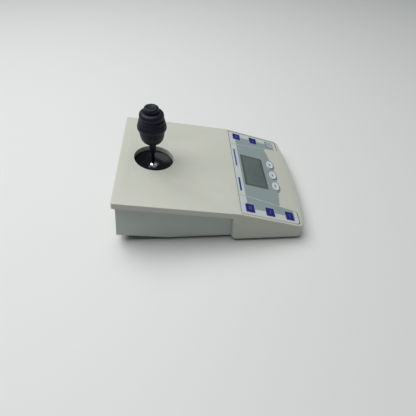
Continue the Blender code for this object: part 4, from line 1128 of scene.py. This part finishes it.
# two rows of round contacts in a raised shell with a flanged plate and two jack posts
def makePort(node, x, width, count):
    name = node.title().replace("_", "")
    tall = back["portHeight"]
    wide, high = back["flange"]
    body = addSlab(name, (width, tall), x, 0, back["depth"], 0.0012)
    combine(body, addSlab("plate", (width + wide, tall + high), x, 0, *back["plate"], 0.0012), "UNION")
    opening = (width - back["shellTrim"][0], tall - back["shellTrim"][1])
    shell = addSlab("shell", opening, x, 0, *back["shell"])
    roundUprights(shell, 0.0024, 5)
    combine(body, shell, "UNION")
    opening = [size - 2 * back["shellWall"] for size in opening]
    combine(body, addSlab("mouth", opening, x, 0, *back["mouth"], 0.0018), "DIFFERENCE")
    lower = count // 2
    pitch = opening[0] / (lower + 2)
    pins, posts = [], []
    for row, amount in ((back["pinRow"], count - lower), (-back["pinRow"], lower)):
        for i in range(amount):
            pins.append(addDrum("pin", *back["pin"], (x + (i - (amount - 1) / 2) * pitch, row), 12))
    for side in (-1, 1):
        place = (x + side * (width / 2 - back["postInset"]), 0)
        post = addDrum("post", *back["post"], place, 6)
        combine(post, addDrum("drill", *back["postHole"], place, 16), "DIFFERENCE")
        posts.append(post)
    roundEdges(body, 0.0002, 2, 40)
    contacts, jacks = joinPieces(pins), joinPieces(posts)
    contacts.name = name + "Contacts"
    jacks.name = name + "Jacks"
    for piece, finish in ((body, socketBlack), (contacts, goldContact), (jacks, zincSteel)):
        finishPiece(piece, finish, node, place=backFrame)


# the power inlet: a round barrel jack with a centre pin
def makeInlet():
    radius, depth = back["inletRadius"], back["depth"]
    jack = spinPiece("powerInlet", [
        (0, depth), (radius - 0.0002, depth), (radius - 0.0002, 0.0003), (radius + 0.0016, 0.0003),
        (radius + 0.0019, 0.0006), (radius + 0.0018, 0.0011), (radius + 0.0012, 0.0014), (0.0056, 0.0017),
        (0.0050, 0.0015), (0.0046, 0.0008), (0.0044, -0.0060), (0, -0.0060)], 56)
    pin = spinPiece("inletPin", [(0, -0.0062), (0.0011, -0.0062), (0.0011, -0.0006), (0.0007, 0.0),
                                 (0, 0.0001)], 24)
    middle = backFrame @ Matrix.Translation((back["inlet"], 0, 0))
    for piece, finish in ((jack, socketBlack), (pin, zincSteel)):
        finishPiece(piece, finish, "power_inlet", place=middle, angle=36)


makeHousing()
softenCopies([node for node in frame["nodes"] if node.endswith("_foot")], blackRubber, 0.00015)
softenCopies([node for node in frame["nodes"] if node.endswith("_cover_screw")], zincSteel, 0.00008)
softenCopies(["power_switch"], socketBlack, 0.0003)
for port in back["ports"]:
    makePort(*port)
makeInlet()
print("housing, feet and sockets made")


# the nodes that stay as they are get their finish by slot
def finishCarried():
    finishes = {"rubber": blackRubber, "steel": zincSteel, "module": liquidCrystal, "board": solderMask,
                "gloss_black": glossBlack, "white_plastic": whiteNylon, "dark_plastic": blackNylon,
                "chrome": chrome, "rod": blackRod, "grip": satinGrip, "sensor": sensorBlue,
                "ribbon": greyRibbon, "socket": socketBlack,
                "cover": beigeCover, "housing": beigeHousing, "overlay": beigeCover, "glass": displayPane,
                "blue_key": sensorBlue, "white_key": whiteNylon}
    for node in frame["nodes"]:
        carried = bpy.data.objects[node]
        for slot in carried.material_slots:
            slot.material = finishes[nodeSlots[node]]


finishCarried()


# plain floor, soft light and the camera
stage = {
    "floor": colour(218, 218, 217),
    "sky": colour(164, 166, 166),
    "worldTint": (0.86, 0.98, 1.0, 1.0),
    "world": 0.155,
    "lights": (("keyLight", (0.28, 0.58, 1.65), 1.7, 37.0), ("fillLight", (0.25, -1.2, 1.1), 1.2, 0.8)),
    "eye": (-0.4028, 0.0276, 0.3846),
    "yaw": -3.71,
    "pitch": -46.05,
    "roll": 0.615,
    "lens": 29.8,
}


def makeStage():
    deselectAll()
    bpy.ops.mesh.primitive_plane_add(size=8, location=(0, 0, 0))
    floor = bpy.context.object
    floor.name = "floor"
    applyPlace(floor)
    finish, tree, shader, vector = newFinish("paleFloor")
    tone = stage["floor"]
    base = mixColours(tree, addNoise(tree, vector, 3.0), dimmed(tone, 0.98), tone)
    tree.links.new(base, shader.inputs["Base Color"])
    shader.inputs["Roughness"].default_value = 0.6
    floor.data.materials.append(finish)
    world = bpy.data.worlds.new("studio")
    world.use_nodes = True
    tree = world.node_tree
    lighting = tree.nodes["Background"]
    lighting.inputs["Color"].default_value = stage["worldTint"]
    lighting.inputs["Strength"].default_value = stage["world"]
    sky = addNode(tree, "Background", stage["sky"])
    toCamera = addNode(tree, "LightPath").outputs["Is Camera Ray"]
    choose = addNode(tree, "MixShader", toCamera, lighting.outputs[0], sky.outputs[0])
    tree.links.new(choose.outputs[0], tree.nodes["World Output"].inputs["Surface"])
    bpy.context.scene.world = world
    for name, place, size, power in stage["lights"]:
        deselectAll()
        bpy.ops.object.light_add(type="AREA", location=place)
        light = bpy.context.object
        light.name = name
        light.data.size = size
        light.data.energy = power
        light.rotation_euler = (-Vector(place)).to_track_quat("-Z", "Y").to_euler()


def makeCamera():
    yaw, pitch, roll = (math.radians(stage[turn]) for turn in ("yaw", "pitch", "roll"))
    forward = Vector((math.cos(yaw) * math.cos(pitch), math.sin(yaw) * math.cos(pitch), math.sin(pitch)))
    right = forward.cross(Vector((0, 0, 1))).normalized()
    up = right.cross(forward)
    turnedRight = right * math.cos(roll) + up * math.sin(roll)
    turnedUp = up * math.cos(roll) - right * math.sin(roll)
    place = Matrix((turnedRight, turnedUp, -forward)).transposed().to_4x4()
    place.translation = stage["eye"]
    lens = bpy.data.cameras.new("camera")
    lens.lens = stage["lens"]
    lens.sensor_width = 36
    lens.clip_start = 0.01
    camera = bpy.data.objects.new("camera", lens)
    camera.matrix_world = place
    bpy.context.scene.collection.objects.link(camera)
    bpy.context.scene.camera = camera


makeStage()
makeCamera()
print("stage and camera made")
